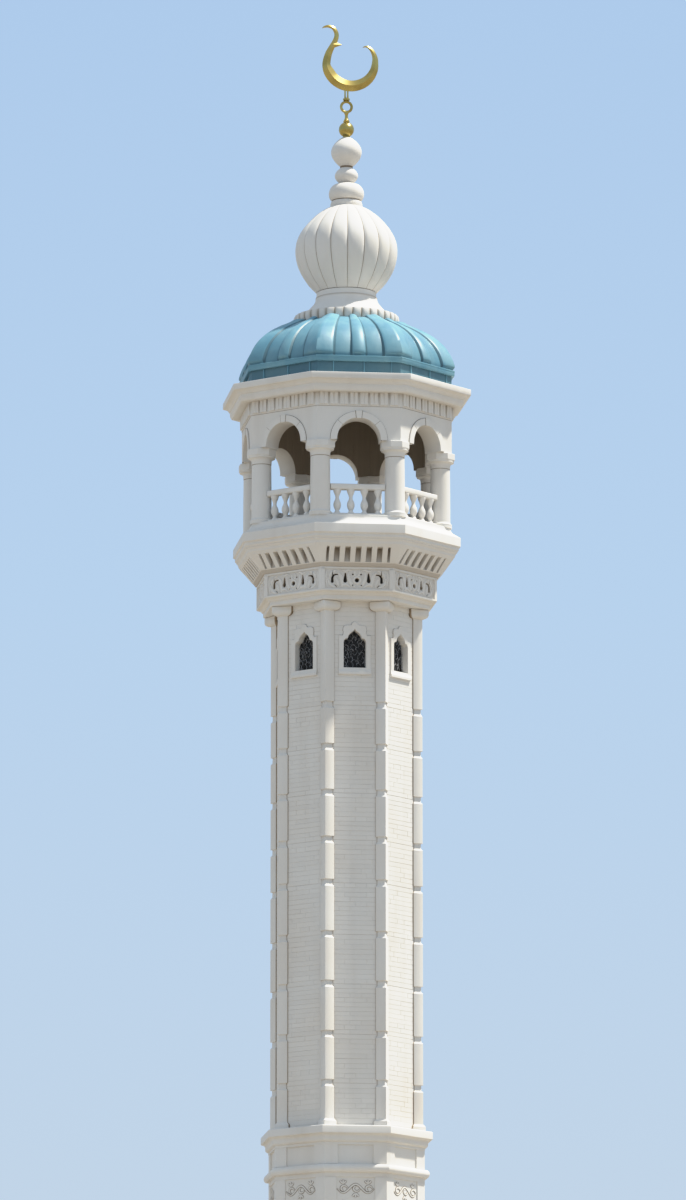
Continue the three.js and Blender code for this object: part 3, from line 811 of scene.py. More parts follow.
def door_leaf():
    """Upright boards cut to the doorway's outline, with chamfered edges and three rails with studs."""
    skin = Skin()
    depth = LOWER_R * COS - WALL_RECESS - 0.16
    line = rising(door_outline(-0.004, FLOOR + 0.002))
    line[-1, 0] = 0.004
    halves, heights = line[:, :1], line[:, 1:]
    boards = 6
    width = 2 * DOOR_HALF / boards
    groove, thickness = 0.006, 0.055
    left = -DOOR_HALF + np.arange(boards) * width
    across = np.append(np.stack([left, left + groove, left + width - groove], -1), DOOR_HALF)
    back = np.append(np.tile([groove, 0.0, 0.0], boards), groove)
    across = np.clip(across, -halves, halves)
    front = on_face(across, depth - back, heights)
    rear = on_face(across, depth - thickness, heights)
    skin.grid(front, facing=FRONT)
    skin.grid(rear, facing=BEHIND)
    middle = (0, -depth + 0.03, 1.4)
    for edge in (0, -1):
        skin.grid(np.stack([front[:, edge], rear[:, edge]]), away_from=middle)
        skin.grid(np.stack([front[edge], rear[edge]]), away_from=middle)
    stud = outline((0.0, 0.034), arc((0.006, 0.034), (0.02, 0.02), 0.3, 4), (0.02, 0.0))
    stud_radius, proud = stud[:, :1], stud[:, 1:]
    angle = np.linspace(0, math.tau, 12, endpoint=False)
    for low in (FLOOR + 0.12, FLOOR + 0.92, FLOOR + 1.62):
        rail = rounded_section(depth - 0.01, depth + 0.022, low, low + 0.13, 0.006)
        extrude_across(skin, rail, -DOOR_HALF + 0.01, DOOR_HALF - 0.01)
        height = low + 0.065
        for x in np.linspace(-0.32, 0.32, 5):
            rings = on_face(x + stud_radius * np.sin(angle), depth + proud,
                            height + stud_radius * np.cos(angle))
            skin.grid(rings, round_columns=True, away_from=(x, -depth + 0.1, height), tone=0.2)
    return skin


# Mouldings and carved bands

def corner_strips(skin, radius, width, bottom, top, back):
    """Upright strips on both sides of every corner, of one plan, standing over a recess."""
    depth = radius * COS
    left, right = depth * TAN - width, depth * TAN
    chamfer = 0.006
    near = depth - back - 0.02
    plan = np.array([(left, near), (left, depth - chamfer), (left + chamfer, depth), (right, depth),
                     (near * TAN, near)])
    side, both = Skin(), Skin()
    side.tube(on_face(plan[:, 0], plan[:, 1], np.array([[bottom], [top]])))
    both.join_both(side)
    skin.join_round(both)


def from_line(x, z, line):
    """Distance of each point of a field from a line, and how far along the line it is nearest."""
    gap = (x[..., None] - line[:, 0]) ** 2 + (z[..., None] - line[:, 1]) ** 2
    return np.sqrt(gap.min(-1)), gap.argmin(-1) / (len(line) - 1)


def round_relief(distance, half, height):
    """Height of a half round relief at a distance from its middle."""
    return height * np.sqrt(np.clip(1 - (distance / half) ** 2, 0, 1))


def vein(x, z, line, width, height):
    """A leaf or stem along a line: half round across, and narrowing to both its ends."""
    distance, along = from_line(x, z, line)
    return round_relief(distance, width * np.sin(np.pi * np.clip(along, 0.06, 0.94)) ** 0.6, height)


def pit(x, z, line, width):
    """A slot cut along a line: 1 inside, falling to 0 over a few millimetres."""
    distance, along = from_line(x, z, line)
    half = width * (0.35 + 0.65 * along)
    return np.clip((half - distance) / 0.008, 0, 1)


def foliage(x, z):
    """Pierced foliage, alike on both sides: a round hole in the middle, a slit leaf and a hooked stroke on
    each side of it, small eyelets between, and flat leaves over the rest."""
    side = np.abs(x)
    leaves = [
        ([(0.05, -0.20), (0.14, -0.12), (0.20, 0.02), (0.19, 0.17)], 0.042),
        ([(0.0, 0.06), (0.06, 0.12), (0.05, 0.21)], 0.030),
        ([(0.12, 0.20), (0.20, 0.22), (0.28, 0.19), (0.36, 0.21)], 0.026),
        ([(0.36, -0.19), (0.37, -0.06), (0.40, 0.07), (0.47, 0.16)], 0.048),
        ([(0.16, -0.21), (0.24, -0.15), (0.33, -0.14), (0.40, -0.20)], 0.032),
        ([(0.45, -0.18), (0.48, -0.07), (0.52, 0.02)], 0.036),
        ([(0.50, 0.20), (0.58, 0.18), (0.66, 0.10), (0.69, 0.0)], 0.034),
        ([(0.50, -0.21), (0.60, -0.18), (0.68, -0.10), (0.72, 0.02)], 0.034),
        ([(0.74, 0.20), (0.76, 0.08), (0.75, -0.06), (0.72, -0.20)], 0.026),
    ]
    slots = [
        ([(0.281, 0.13), (0.283, 0.04), (0.286, -0.045)], 0.046),
        ([(0.47, 0.105), (0.545, 0.095), (0.595, 0.035), (0.600, -0.07)], 0.034),
        ([(0.585, 0.20), (0.60, 0.14), (0.592, 0.09)], 0.011),
        ([(0.105, 0.125), (0.10, 0.117)], 0.022),
        ([(0.112, -0.150), (0.106, -0.154)], 0.018),
        ([(0.55, -0.14), (0.50, -0.19)], 0.010),
    ]
    ring = np.hypot(x, z + 0.03)
    height = round_relief(ring - 0.078, 0.026, 0.018)
    for line, width in leaves:
        height = np.maximum(height, vein(side, z, smooth_line(line, 40), width, 0.017))
    hollow = np.clip((0.050 - ring) / 0.008, 0, 1)
    for line, width in slots:
        hollow = np.maximum(hollow, pit(side, z, smooth_line(line, 24), width))
    return height * (1 - hollow) - 0.09 * hollow, hollow


def carved_stroke(skin, line, width, rise, depth, cut):
    """A stem or leaf raised on a field: half round across, narrowing to both ends, between two flat dark
    strips of painted shade that stand for cuts.
    """
    t = np.linspace(0, 1, len(line))
    side = leftward(line)
    half = width * np.sin(np.pi * np.clip(t, 0.04, 0.96)) ** 0.5
    # The dark strips beside each stroke are painted shade standing for cut grooves.
    cut_shade_tone = 0.08
    stations = ((-1, 1, 0, CLEAN), (-1, 0.2, 0, cut_shade_tone), (-0.75, 0, 0.75, CLEAN), (0, 0, 1, CLEAN),
                (0.75, 0, 0.75, CLEAN), (1, 0.2, 0, cut_shade_tone), (1, 1, 0, CLEAN))
    rows, tones = [], []
    for share, beyond, out, tone in stations:
        offset = share * half + np.sign(share) * beyond * cut
        rows.append(line_on_face(line + side * offset[:, None], depth + 0.001 + rise * out))
        tones.append([tone])
    skin.grid(np.stack(rows), facing=FRONT, tone=tones)


def vine(skin, depth, level):
    """A running vine across a field: a stem that waves, a leaf scroll in each bend and small leaves
    beside it."""
    width = 0.024
    span = np.linspace(-0.45, 0.45, 110)
    stem = np.stack([span, level + 0.10 * np.cos(span * math.tau / 0.60)], -1)
    carved_stroke(skin, stem, width, 0.014, depth, 0.012)
    angle = np.linspace(0.0, 4.9, 40)
    radius = 0.098 - 0.013 * angle
    for k in range(3):
        middle = 0.30 * (k - 1)
        sign = 1 if k % 2 else -1
        scroll = np.stack([middle + 0.01 + radius * np.cos(angle),
                           level + sign * (0.012 - radius * np.sin(angle))], -1)
        carved_stroke(skin, scroll, width, 0.015, depth, 0.012)
        for lean in (-0.75, 0.0, 0.75):
            root = np.array([middle + 0.02 * math.sin(lean), level - sign * 0.118])
            tip = root + 0.10 * np.array([math.sin(lean), -sign * math.cos(lean)])
            carved_stroke(skin, np.linspace(root, tip, 9), width, 0.014, depth, 0.010)


def carved_band():
    """The lower cornice, the carved band over it and the rounded string course."""
    skin = Skin()
    recess = 0.035
    low, high = CARVED_FIELD
    ring_low, ring_high = RING_BAND
    edge = LOWER_R + 0.01
    cornice = outline(
        (CORE_R, 0.0), (edge, 0.0), (edge, 0.05), ogee((LOWER_R + 0.03, 0.06), (2.17, 0.20), 0.22),
        (2.20, 0.21), (2.20, 0.33), arc((2.20, 0.33), (2.17, 0.36), 0.3, 3), (BAND_R, 0.42))
    profile = outline(
        cornice + (0, LOWER_WALL_TOP), (BAND_R, low - 0.003), (BAND_R - recess, low), (BAND_R - recess, high),
        (BAND_R, high + 0.003), (BAND_R, ring_low - 0.02), (2.03, ring_low - 0.015),
        arc((2.055, ring_low + 0.01), (2.06, ring_high - 0.05), 0.16, 8),
        (2.02, ring_high - 0.01), (BAND_R + 0.01, ring_high), (CORE_R, ring_high))
    sweep_octagon(skin, profile)
    corner_strips(skin, BAND_R, 0.283, low - 0.01, high + 0.01, recess)
    field = Skin()
    for level in (-0.26, 0.24):
        vine(field, (BAND_R - recess) * COS, (low + high) / 2 + level)
    skin.join_round(field)
    return skin


def base_cornice():
    """The band of plain panels and the large moulding at the foot of the shaft."""
    skin = Skin()
    low, high = RING_BAND[1] + 0.01, PANEL_BAND_TOP - 0.01
    recess = 0.04
    top = BASE_CORNICE_TOP
    edge = 2.152
    profile = outline(
        (CORE_R, RING_BAND[1]), (BAND_R - recess, RING_BAND[1]), (BAND_R - recess, high),
        (BAND_R + 0.012, high + 0.004), (BAND_R + 0.012, PANEL_BAND_TOP + 0.05),
        ogee((BAND_R + 0.03, PANEL_BAND_TOP + 0.055), (2.095, top - 0.205), 0.2),
        (edge - 0.012, top - 0.196), (edge, top - 0.185), (edge, top - 0.03),
        arc((edge, top - 0.03), (edge - 0.025, top - 0.006), 0.2, 3), (2.0, top), (CORE_R, top))
    sweep_octagon(skin, profile)
    corner_strips(skin, BAND_R, 0.32, low - 0.005, high + 0.01, recess)
    return skin


def stepped_foot():
    """Three octagonal steps of long stones with rounded nosings, on a solid core."""
    skin = Skin()
    rise, tread, top_radius = 0.15, 0.23, 2.35
    stones = 5
    gap = 0.003
    for step in range(3):
        radius = top_radius + tread * (2 - step)
        low = rise * step
        high = low + rise
        core = outline((0.0, low), (radius - 0.012, low), (radius - 0.012, high - 0.004), (0.0, high - 0.004))
        sweep_octagon(skin, core, closed=False, tone=0.4)
        depth = radius * COS
        near = depth - tread - 0.06
        section = outline((near, low + 0.002), (depth, low + 0.002), (depth, high - 0.02),
                          arc((depth, high - 0.02), (depth - 0.02, high), 0.2, 3), (near, high))
        for i in range(stones):
            ends = [on_face((2 * t / stones - 1) * TAN * section[:, 0] + inset, section[:, 0], section[:, 1])
                    for t, inset in ((i, gap), (i + 1, -gap))]
            stone = Skin()
            stone.tube(np.stack(ends), CLEAN + 0.03 * math.sin(7.3 * i + 3.1 * step))
            skin.join_round(stone)
    return skin


def frieze():
    """Architrave, bed moulding and the band of pierced foliage between corner strips. The foliage is a
    grid whose depth is a function of its place across and up, with painted shade at its foot and painted
    shade near black in its hollows."""
    skin = Skin()
    low, high = SHAFT_TOP + 0.235, FRIEZE_TOP - 0.055
    recess, back = 0.03, 0.15
    foot_height, foot_shade, hollow_shade = 0.003, 0.15, 0.5
    edge, inner = FRIEZE_R, FRIEZE_R - back
    architrave = outline(
        (CORE_R, 0.0), (2.10, 0.0), (2.115, 0.012), (2.115, 0.105), (2.14, 0.115),
        arc((2.15, 0.12), (2.25, 0.180), -0.18, 5), (2.272, 0.185), (edge, 0.200)) + (0, SHAFT_TOP)
    profile = outline(
        architrave, (edge, low - 0.006), (edge - 0.008, low), (inner, low), (inner, high), (edge, high),
        (edge, FRIEZE_TOP - 0.012), (edge - 0.012, FRIEZE_TOP), (CORE_R, FRIEZE_TOP))
    sweep_octagon(skin, profile)
    corner_strips(skin, FRIEZE_R, 0.09, low - 0.01, high + 0.01, back)
    x, z = np.meshgrid(np.linspace(-0.79, 0.79, 190), np.linspace(low - 0.002, high + 0.002, 60))
    height, hollow = foliage(x, z - (low + high) / 2)
    # Painted shade along the foot of the relief, and near black in the hollows.
    shade = CLEAN - foot_shade * np.exp(-((height / foot_height - 1) ** 2)) - hollow_shade * hollow
    field = Skin()
    field.grid(on_face(x, (FRIEZE_R - recess) * COS + height, z), tone=shade)
    skin.join_round(field)
    return skin


def flare(z):
    """Corner radius of the corbel ring: it leans out slowly at first, then more, then steeper again."""
    return np.interp(z, [23.43, 23.48, 23.53, 23.62, 23.72, 23.80, 23.86, 23.92],
                     [2.315, 2.345, 2.40, 2.475, 2.56, 2.635, 2.69, 2.735])


def corbel_ring():
    """The flared ring under the gallery: a recessed back, and ribs that carry the bands above and below.
    Painted shade darkens the band under the slots, the recessed back, most at its top, and the ribs'
    sides towards the back.
    """
    skin, face, end = Skin(), Skin(), Skin()
    slot_low, slot_high = CORBEL_SLOTS
    back_radius = 2.18 / COS
    low = np.linspace(FRIEZE_TOP + 0.012, slot_low, 4)
    high = np.linspace(slot_high, 23.92, 3)
    profile = outline(
        (CORE_R, FRIEZE_TOP), (2.30, FRIEZE_TOP), np.stack([flare(low), low], -1),
        (back_radius, slot_low + 0.012), (back_radius, slot_high - 0.004), np.stack([flare(high), high], -1),
        arc((2.745, 23.93), (2.80, 24.03), -0.12, 5), (2.80, CORBEL_TOP), (CORE_R, CORBEL_TOP))
    shade = np.full(len(profile), CLEAN)
    # Painted shade: the band under the slots, and the recessed back, darkest at its top.
    shade[1:5] = 0.39
    shade[profile[:, 0] == back_radius] = (0.42, 0.335)
    sweep_octagon(skin, profile, tone=shade[:, None])
    pitch, slot, edge, near = 0.26, 0.135, 0.005, 2.17
    rib_half = (pitch - slot) / 2
    heights = np.linspace(slot_low - 0.01, slot_high + 0.01, 9)
    stations = list(zip(heights, flare(heights) * COS + 0.001))
    for k in range(6):
        middle = (k - 2.5) * pitch
        left, right = middle - rib_half, middle + rib_half
        rows = [on_face((left, left, left + edge, right - edge, right, right),
                        np.array([near, d - edge, d, d, d - edge, near]), z) for z, d in stations]
        # The ribs' sides darken towards the back: painted shade.
        face.tube(np.stack(rows), (0.34, 0.49, CLEAN, CLEAN, 0.49, 0.34))
    start = 2.5 * pitch + rib_half + slot / 2
    rows = [on_face((start, start, start + edge, d * TAN, near * TAN),
                    np.array([near, d - edge, d, d, near]), z) for z, d in stations]
    end.tube(np.stack(rows))
    face.join_both(end)
    skin.join_round(face)
    return skin


def gallery_slab():
    """The floor of the gallery: a bed moulding, a plain fascia, a sloped top that sheds water and the floor
    itself.
    """
    skin = Skin()
    floor_edge = (2.25, GALLERY_FLOOR)
    profile = outline(
        (0.0, CORBEL_TOP), (2.81, CORBEL_TOP), ogee((2.815, 24.06), (2.86, 24.165), 0.2, 4), (SLAB_R, 24.175),
        (SLAB_R, 24.375), arc((SLAB_R, 24.375), (2.862, 24.402), 0.25, 3), (2.70, 24.50),
        arc((2.66, 24.54), (2.632, 24.645), -0.1, 4), (2.60, GALLERY_FLOOR), floor_edge)
    sweep_octagon(skin, profile, closed=False)
    sweep_octagon(skin, np.array([floor_edge, (0.0, GALLERY_FLOOR)]), closed=False, finish=1)
    return skin


# Gallery

def baluster(skin, across, depth):
    """One turned baluster: foot, egg-shaped bulb, thin neck and bell under the rail."""
    low, high = GALLERY_FLOOR + 0.055, RAIL_BOTTOM + 0.005
    stations = [(0.0, 0.076), (0.05, 0.072), (0.09, 0.052), (0.13, 0.050), (0.19, 0.068), (0.27, 0.086),
                (0.36, 0.093), (0.45, 0.085), (0.53, 0.065), (0.60, 0.047), (0.66, 0.042), (0.72, 0.047),
                (0.79, 0.062), (0.86, 0.080), (0.93, 0.093), (1.0, 0.096)]
    line = smooth_line([(r, low + t * (high - low)) for t, r in stations], 46)
    revolve(skin, outline((0.0, low), line, (0.0, high)), 16, centre=(across, -depth))


def balustrade():
    """Rail, kerb and four balusters of one bay."""
    skin = Skin()
    depth = COLUMN_CIRCLE * COS
    half = COLUMN_CIRCLE * math.sin(TURN / 2) - COLUMN_RADIUS
    rail = rounded_section(depth - 0.10, depth + 0.10, RAIL_BOTTOM, RAIL_TOP, 0.03)
    kerb = rounded_section(depth - 0.085, depth + 0.085, GALLERY_FLOOR - 0.01, GALLERY_FLOOR + 0.06, 0.012)
    extrude_across(skin, rail, -half, half)
    extrude_across(skin, kerb, -half - 0.02, half + 0.02)
    for i in range(4):
        baluster(skin, (i - 1.5) * 0.33, depth)
    return skin


def column():
    """A round column with a small base, a neck line, a bell and an eight-sided abacus, in the middle of
    the front until it is turned to a corner."""
    skin = Skin()
    centre = (0, -COLUMN_CIRCLE)
    r = COLUMN_RADIUS
    low, neck, abacus = GALLERY_FLOOR, NECK_RING, ABACUS_BOTTOM
    profile = outline(
        (0.0, low - 0.02), (r + 0.035, low - 0.02), (r + 0.035, low + 0.05),
        arc((r + 0.035, low + 0.05), (r + 0.02, low + 0.085), 0.3, 3),
        arc((r + 0.015, low + 0.09), (r, low + 0.14), -0.15, 3), (r, low + 0.16), (r - 0.002, low + 0.8),
        (r - 0.008, neck - 0.012), (r - 0.016, neck - 0.006), (r - 0.016, neck), (r - 0.003, neck + 0.006),
        (r - 0.001, neck + 0.06), arc((r - 0.001, neck + 0.06), (r + 0.075, abacus - 0.035), -0.2, 7),
        (r + 0.09, abacus - 0.03), (r + 0.09, abacus + 0.01), (0.0, abacus + 0.01))
    groove = np.abs(profile[:, 1] - neck + 0.003) < 0.004
    revolve(skin, profile, 40, centre, tone=np.where(groove, 0.25, CLEAN)[:, None])
    top = outline(
        (0.0, abacus), (r + 0.075, abacus), arc((r + 0.085, abacus), (r + 0.125, abacus + 0.045), 0.28, 4),
        (r + 0.125, SPRINGING - 0.01), (r + 0.115, SPRINGING), (0.0, SPRINGING))
    revolve(skin, top, SIDES, centre)
    return skin


def over_arch(x, radius):
    """Height of the lower edge of the wall over the arch: the half circle, or its foot beside it."""
    return np.where(np.abs(x) < radius, ARCH_CENTRE + np.sqrt(np.clip(radius**2 - x**2, 0, None)), SPRINGING)


def arch_strip(skin, radius, depth, viewer, finish=0, boards=1):
    """The wall over an arch at one depth: upright strips from the arch to the top of the arcade. Boards
    have a groove between them."""
    half = depth * TAN
    groove_half, groove_depth = 0.004, 0.008
    dense = radius * np.sin(np.linspace(-math.pi / 2, math.pi / 2, 49))
    edges = (-half, -radius - 1e-3, radius + 1e-3, half)
    groove = np.linspace(-half, half, boards + 1)[1:-1]
    across = np.concatenate([dense, edges, groove - groove_half, groove, groove + groove_half])
    across = np.unique(np.round(across, 5))
    in_groove = (np.abs(across[:, None] - groove) < 1e-4).any(1)
    board = np.searchsorted(groove, across)
    shade = CLEAN + 0.03 * np.sin(board * 2.4) - 0.25 * in_groove
    rows = np.stack([over_arch(across, radius), np.full(len(across), ARCADE_TOP)])
    points = on_face(across, depth + groove_depth * in_groove, rows)
    skin.grid(points, facing=viewer, finish=finish, tone=shade)


def arc_strip(skin, lines, start=0, end=math.pi, steps=48, towards_centre=False, tone=CLEAN):
    """Strips round the arch through lines of radius and depth, between two angles."""
    angle = np.linspace(start, end, steps + 1)
    radius, depth = np.array(lines).T[..., None]
    points = on_face(radius * np.cos(angle), depth, ARCH_CENTRE + radius * np.sin(angle))
    centre = np.array([0, -depth.mean(), ARCH_CENTRE])
    way = {"facing": centre} if towards_centre else {"away_from": centre + (0, 1.0, 0)}
    skin.grid(points, tone=tone, **way)


def arch():
    """One bay of the arcade: wall over the arch, intrados, archivolt of fitted stones and a keystone. The
    inner side is lined with brown boards, kept dark as painted shade. Painted shade darkens the intrados
    towards the inside, the stones' backs by the wall, and thin lines round the archivolt and beside the
    keystone."""
    skin = Skin()
    radius = ARCH_RADIUS
    outer = LANTERN_R * COS
    inner = LANTERN_INNER_DEPTH
    proud = outer + 0.035
    rim = radius + ARCHIVOLT
    arch_strip(skin, radius + 0.03, outer, FRONT)
    arch_strip(skin, radius, inner, BEHIND, finish=1, boards=4)
    depths = np.array([[inner], [outer]])
    for sides, heights in (((-1, -1), (SPRINGING, ARCADE_TOP)), ((-1, 1), (ARCADE_TOP, ARCADE_TOP)),
                           ((1, 1), (ARCADE_TOP, SPRINGING))):
        skin.grid(on_face(sides * depths * TAN, depths, heights), away_from=(0, -(inner + outer) / 2, 26.9))
    for sign in (-1, 1):
        foot = np.hstack([np.full((2, 1), radius), depths * TAN]) * sign
        skin.grid(on_face(foot, depths, SPRINGING), away_from=(sign * 0.8, -outer, 27))
        jamb = on_face(sign * radius, np.array([[inner], [proud]]), (SPRINGING, ARCH_CENTRE))
        skin.grid(jamb, facing=(0, -outer, 26.5))
    intrados = [(radius, inner - 0.002), (radius, proud - 0.01)]
    # Painted shade: the intrados darker and browner towards the inside.
    arc_strip(skin, intrados, towards_centre=True, tone=[[0.42], [0.49]])
    bed = proud - 0.008
    arc_strip(skin, [(radius + 0.004, bed), (rim - 0.012, bed), (rim - 0.012, outer - 0.01)], tone=0.22)
    # A thin painted shadow line on the wall round the archivolt's outer edge.
    arc_strip(skin, [(rim - 0.002, outer + 0.002), (rim + 0.009, outer + 0.002)], tone=0.15)
    joints = np.radians([-1.5, 42, 83])
    gap = 0.005
    lines = [(radius, proud - 0.012), (radius + 0.008, proud), (rim - 0.006, proud), (rim, proud - 0.006),
             (rim, outer - 0.01)]
    # The stones' backs by the wall are darker: painted shade.
    shades = [[CLEAN]] * 4 + [[0.35]]
    for first, last in zip(joints[:-1] + gap, joints[1:] - gap):
        for start, end in ((first, last), (math.pi - last, math.pi - first)):
            arc_strip(skin, lines, start, end, 18, tone=shades)
    low, high = ARCH_CENTRE + radius - 0.012, ARCH_CENTRE + rim + 0.012
    key = np.array([(-0.062, low), (0.062, low), (0.080, high), (-0.080, high)])
    face = key + (key.mean(0) - key) * 0.08
    skin.tube(np.stack([line_on_face(key, outer - 0.02), line_on_face(key, proud + 0.008),
                        line_on_face(face, proud + 0.016)]))
    # Painted shadow lines beside the keystone's sides.
    for sign in (-1, 1):
        painted_shadow_line(skin, key[[0, 3]] * (sign, 1) + (-sign * 0.004, 0.0), proud + 0.002, 0.014)
    return skin


def dentil(skin, middle, depth):
    """One dentil with a groove down its front: brown streaks at random, and painted shade that deepens
    towards the soffit, into the groove and at its sides.
    """
    half, front, edge = 0.095, depth + 0.055, 0.006
    plan = np.array([(-half, depth - 0.02), (-half, front - edge), (-half + edge, front), (-0.014, front),
                     (0.0, front - 0.012), (0.014, front), (half - edge, front), (half, front - edge),
                     (half, depth - 0.02)])
    random = np.random.default_rng(round(middle * 1000) + 5000)
    levels = np.array([[ARCADE_TOP + 0.045], [ARCADE_TOP + 0.13], [SOFFIT - 0.03], [SOFFIT + 0.01]])
    # Brown streaks at random, and painted shade growing towards the soffit, into the groove and at the sides.
    painted_shade_and_dirt = np.array([0.05, 0.03, 0.02, 0.02, 0.05, 0.02, 0.02, 0.03, 0.05]) * random.uniform(0.0, 2.1, 9)
    tone = CLEAN - painted_shade_and_dirt * np.array([[0.3], [0.9], [1.9], [2.4]])
    skin.tube(on_face(plan[:, 0] + middle, plan[:, 1], levels), tone)


def top_cornice():
    """Dentil band, soffit, ovolo, hollow and fascia, with a nearly flat top, and brown boards inside kept
    dark as painted shade. Painted shade darkens the step at the band's foot and the gaps towards the soffit.
    """
    skin, face = Skin(), Skin()
    inner_radius = LANTERN_INNER_DEPTH / COS
    wall, band, edge = LANTERN_R - 0.006, LANTERN_R + 0.012, CORNICE_R
    top = 0.42
    lower = outline((inner_radius, 0.0), (wall, 0.0), (wall, 0.008), (band, 0.012), (band, 0.05),
                    (band - 0.002, 0.15)) + (0, ARCADE_TOP)
    upper = outline(
        (band, 0.0), (2.925, 0.0), arc((2.93, 0.004), (2.975, 0.165), 0.10, 6), (2.99, 0.172),
        arc((3.00, 0.178), (3.12, 0.262), -0.16, 6), (3.15, 0.268), (edge, 0.280), (edge, top - 0.018),
        arc((edge, top - 0.018), (edge - 0.018, top), 0.25, 3), (2.80, top + 0.035),
        (2.62, top + 0.035)) + (0, SOFFIT)
    profile = outline(lower, upper, (2.45, CORNICE_TOP), (inner_radius, CORNICE_TOP))
    # Painted shade on the step at the foot of the dentil band and up the gaps between dentils.
    painted_shade_and_dirt = np.full(len(profile), CLEAN)
    painted_shade_and_dirt[2] = 0.3
    painted_shade_and_dirt[5:7] = (0.47, 0.41)
    sweep_octagon(skin, profile, closed=False, tone=painted_shade_and_dirt[:, None])
    lining = np.array([(inner_radius, CORNICE_TOP), (inner_radius, ARCADE_TOP)])
    sweep_octagon(skin, lining, closed=False, finish=1)
    for i in range(8):
        dentil(face, (i - 3.5) * 0.245, LANTERN_R * COS)
    skin.join_round(face)
    return skin


# Dome and finial

def octagon_reach(azimuth):
    """Share of the corner radius at which an octagon's face lies at an azimuth: cos 22.5 / cos of the
    angle from the face's middle."""
    from_face = (azimuth + TURN / 2) % TURN - TURN / 2
    return COS / np.cos(from_face)


def rib_plan():
    """Azimuths across one face from corner to corner, how far the sheet stands out there and its tone: half
    a corner rib, a flat panel, the middle rib, a panel and half a corner rib. A rib is a flattened round
    between steep sides, with a fold at its foot darkened by painted shade."""
    half = TURN / 2
    corner, middle, side, fold = 0.140, 0.062, 0.016, 0.012
    turn = np.linspace(-1, 1, 13)
    round_top = 0.095 * (1 - 0.42 * turn**2)
    right, left = turn >= 0, turn < 0
    inward = np.array([0.2 * side, side, side + fold])
    parts = [(-half + corner * turn[right], round_top[right], CLEAN)]
    for first, last in ((-half + corner, -middle), (middle, half - corner)):
        folds = np.concatenate([first + inward, last - inward[::-1]])
        # The folds' low tones are painted shade.
        parts.append((folds, [0.046, 0.0, 0.006, 0.006, 0.0, 0.046], [0.17, 0.1, 0.46, 0.46, 0.1, 0.17]))
        if first < 0:
            parts.append((middle * turn, round_top, CLEAN))
    parts.append((half + corner * turn[left], round_top[left], CLEAN))
    azimuths, proud, shades = zip(*parts)
    shades = [np.broadcast_to(shade, len(azimuth)) for shade, azimuth in zip(shades, azimuths)]
    return np.concatenate(azimuths), np.concatenate(proud), np.concatenate(shades)


def dome():
    """Ribbed sheet dome: an octagon that closes upward, with a broad rounded rib at each corner and a
    narrower one up each face's middle, which rise a little at the crown and sink within it. Below are a
    flashing band and a recessed skirt, and inside a lining of brown boards kept dark as painted shade.
    Painted shade darkens the lower dome and the skirt with its seams, and painted light brightens the top."""
    skin = Skin()
    line = smooth_line([(2.735, 28.56), (2.73, 28.68), (2.64, 28.92), (2.47, 29.18), (2.20, 29.43),
                        (1.87, 29.63), (1.56, 29.765), (1.34, 29.825), (1.15, 29.845)], 34)
    base, level = line[:, :1], line[:, 1:]
    eaves, inset = 28.55, 0.075
    crown_radius, crown_width, crown_lift, crown_sink = 1.40, 0.13, 0.55, 0.35
    edges, proud, shade = rib_plan()
    azimuth = np.concatenate([edges + k * TURN for k in range(SIDES)])
    height = np.tile(proud, SIDES)
    foot = np.clip((level - eaves) / 0.10, 0.35, 1)
    radius = base * octagon_reach(azimuth) + height * foot - inset
    crown = np.exp(-(((base - crown_radius) / crown_width) ** 2))
    up = level + crown_lift * height * crown - crown_sink * height * (base < 1.25)
    # Painted shade low on the dome and painted light near its top.
    painted_light_and_shade_by_height = np.interp(level, [28.6, 28.95, 29.5], [-0.17, -0.04, 0.07])
    skin.grid(around(radius, azimuth, up), round_columns=True, tone=np.tile(shade, SIDES) + painted_light_and_shade_by_height)
    low, high = DOME_BAND
    band = outline((2.60, low), (2.735, low), (2.742, low + 0.01), (2.742, high - 0.03),
                   (2.750, high - 0.026), (2.750, high), (2.735, high + 0.008), (2.60, high + 0.012))
    sweep_octagon(skin, band, tone=0.41)
    # The skirt and its seams are darkened as painted shade under the band.
    skirt = outline((2.62, 28.06), (SKIRT_R, 28.08), (SKIRT_R, low - 0.06), (SKIRT_R, low + 0.01),
                    (2.60, low + 0.01))
    sweep_octagon(skin, skirt, tone=[[0.10], [0.10], [0.07], [0.0], [0.0]])
    seams = Skin()
    depth = SKIRT_R * COS
    section = rounded_section(depth - 0.01, depth + 0.022, 28.07, low + 0.005, 0.004)
    for x in (-0.62, 0.13, 0.80):
        extrude_across(seams, section, x - 0.011, x + 0.011, tone=0.27)
    skin.join_round(seams)
    inner_foot = (2.40, CORNICE_TOP - 0.02)
    inner = np.array([(0.0, 29.50), (1.5, 29.38), (2.05, 29.10), (2.40, 28.78), inner_foot])
    sweep_octagon(skin, inner, closed=False, finish=1)
    sweep_octagon(skin, np.array([inner_foot, (2.62, 28.06)]), closed=False, finish=1)
    revolve(skin, outline((1.2, 29.80), (0.0, 29.80)), 48)
    return skin


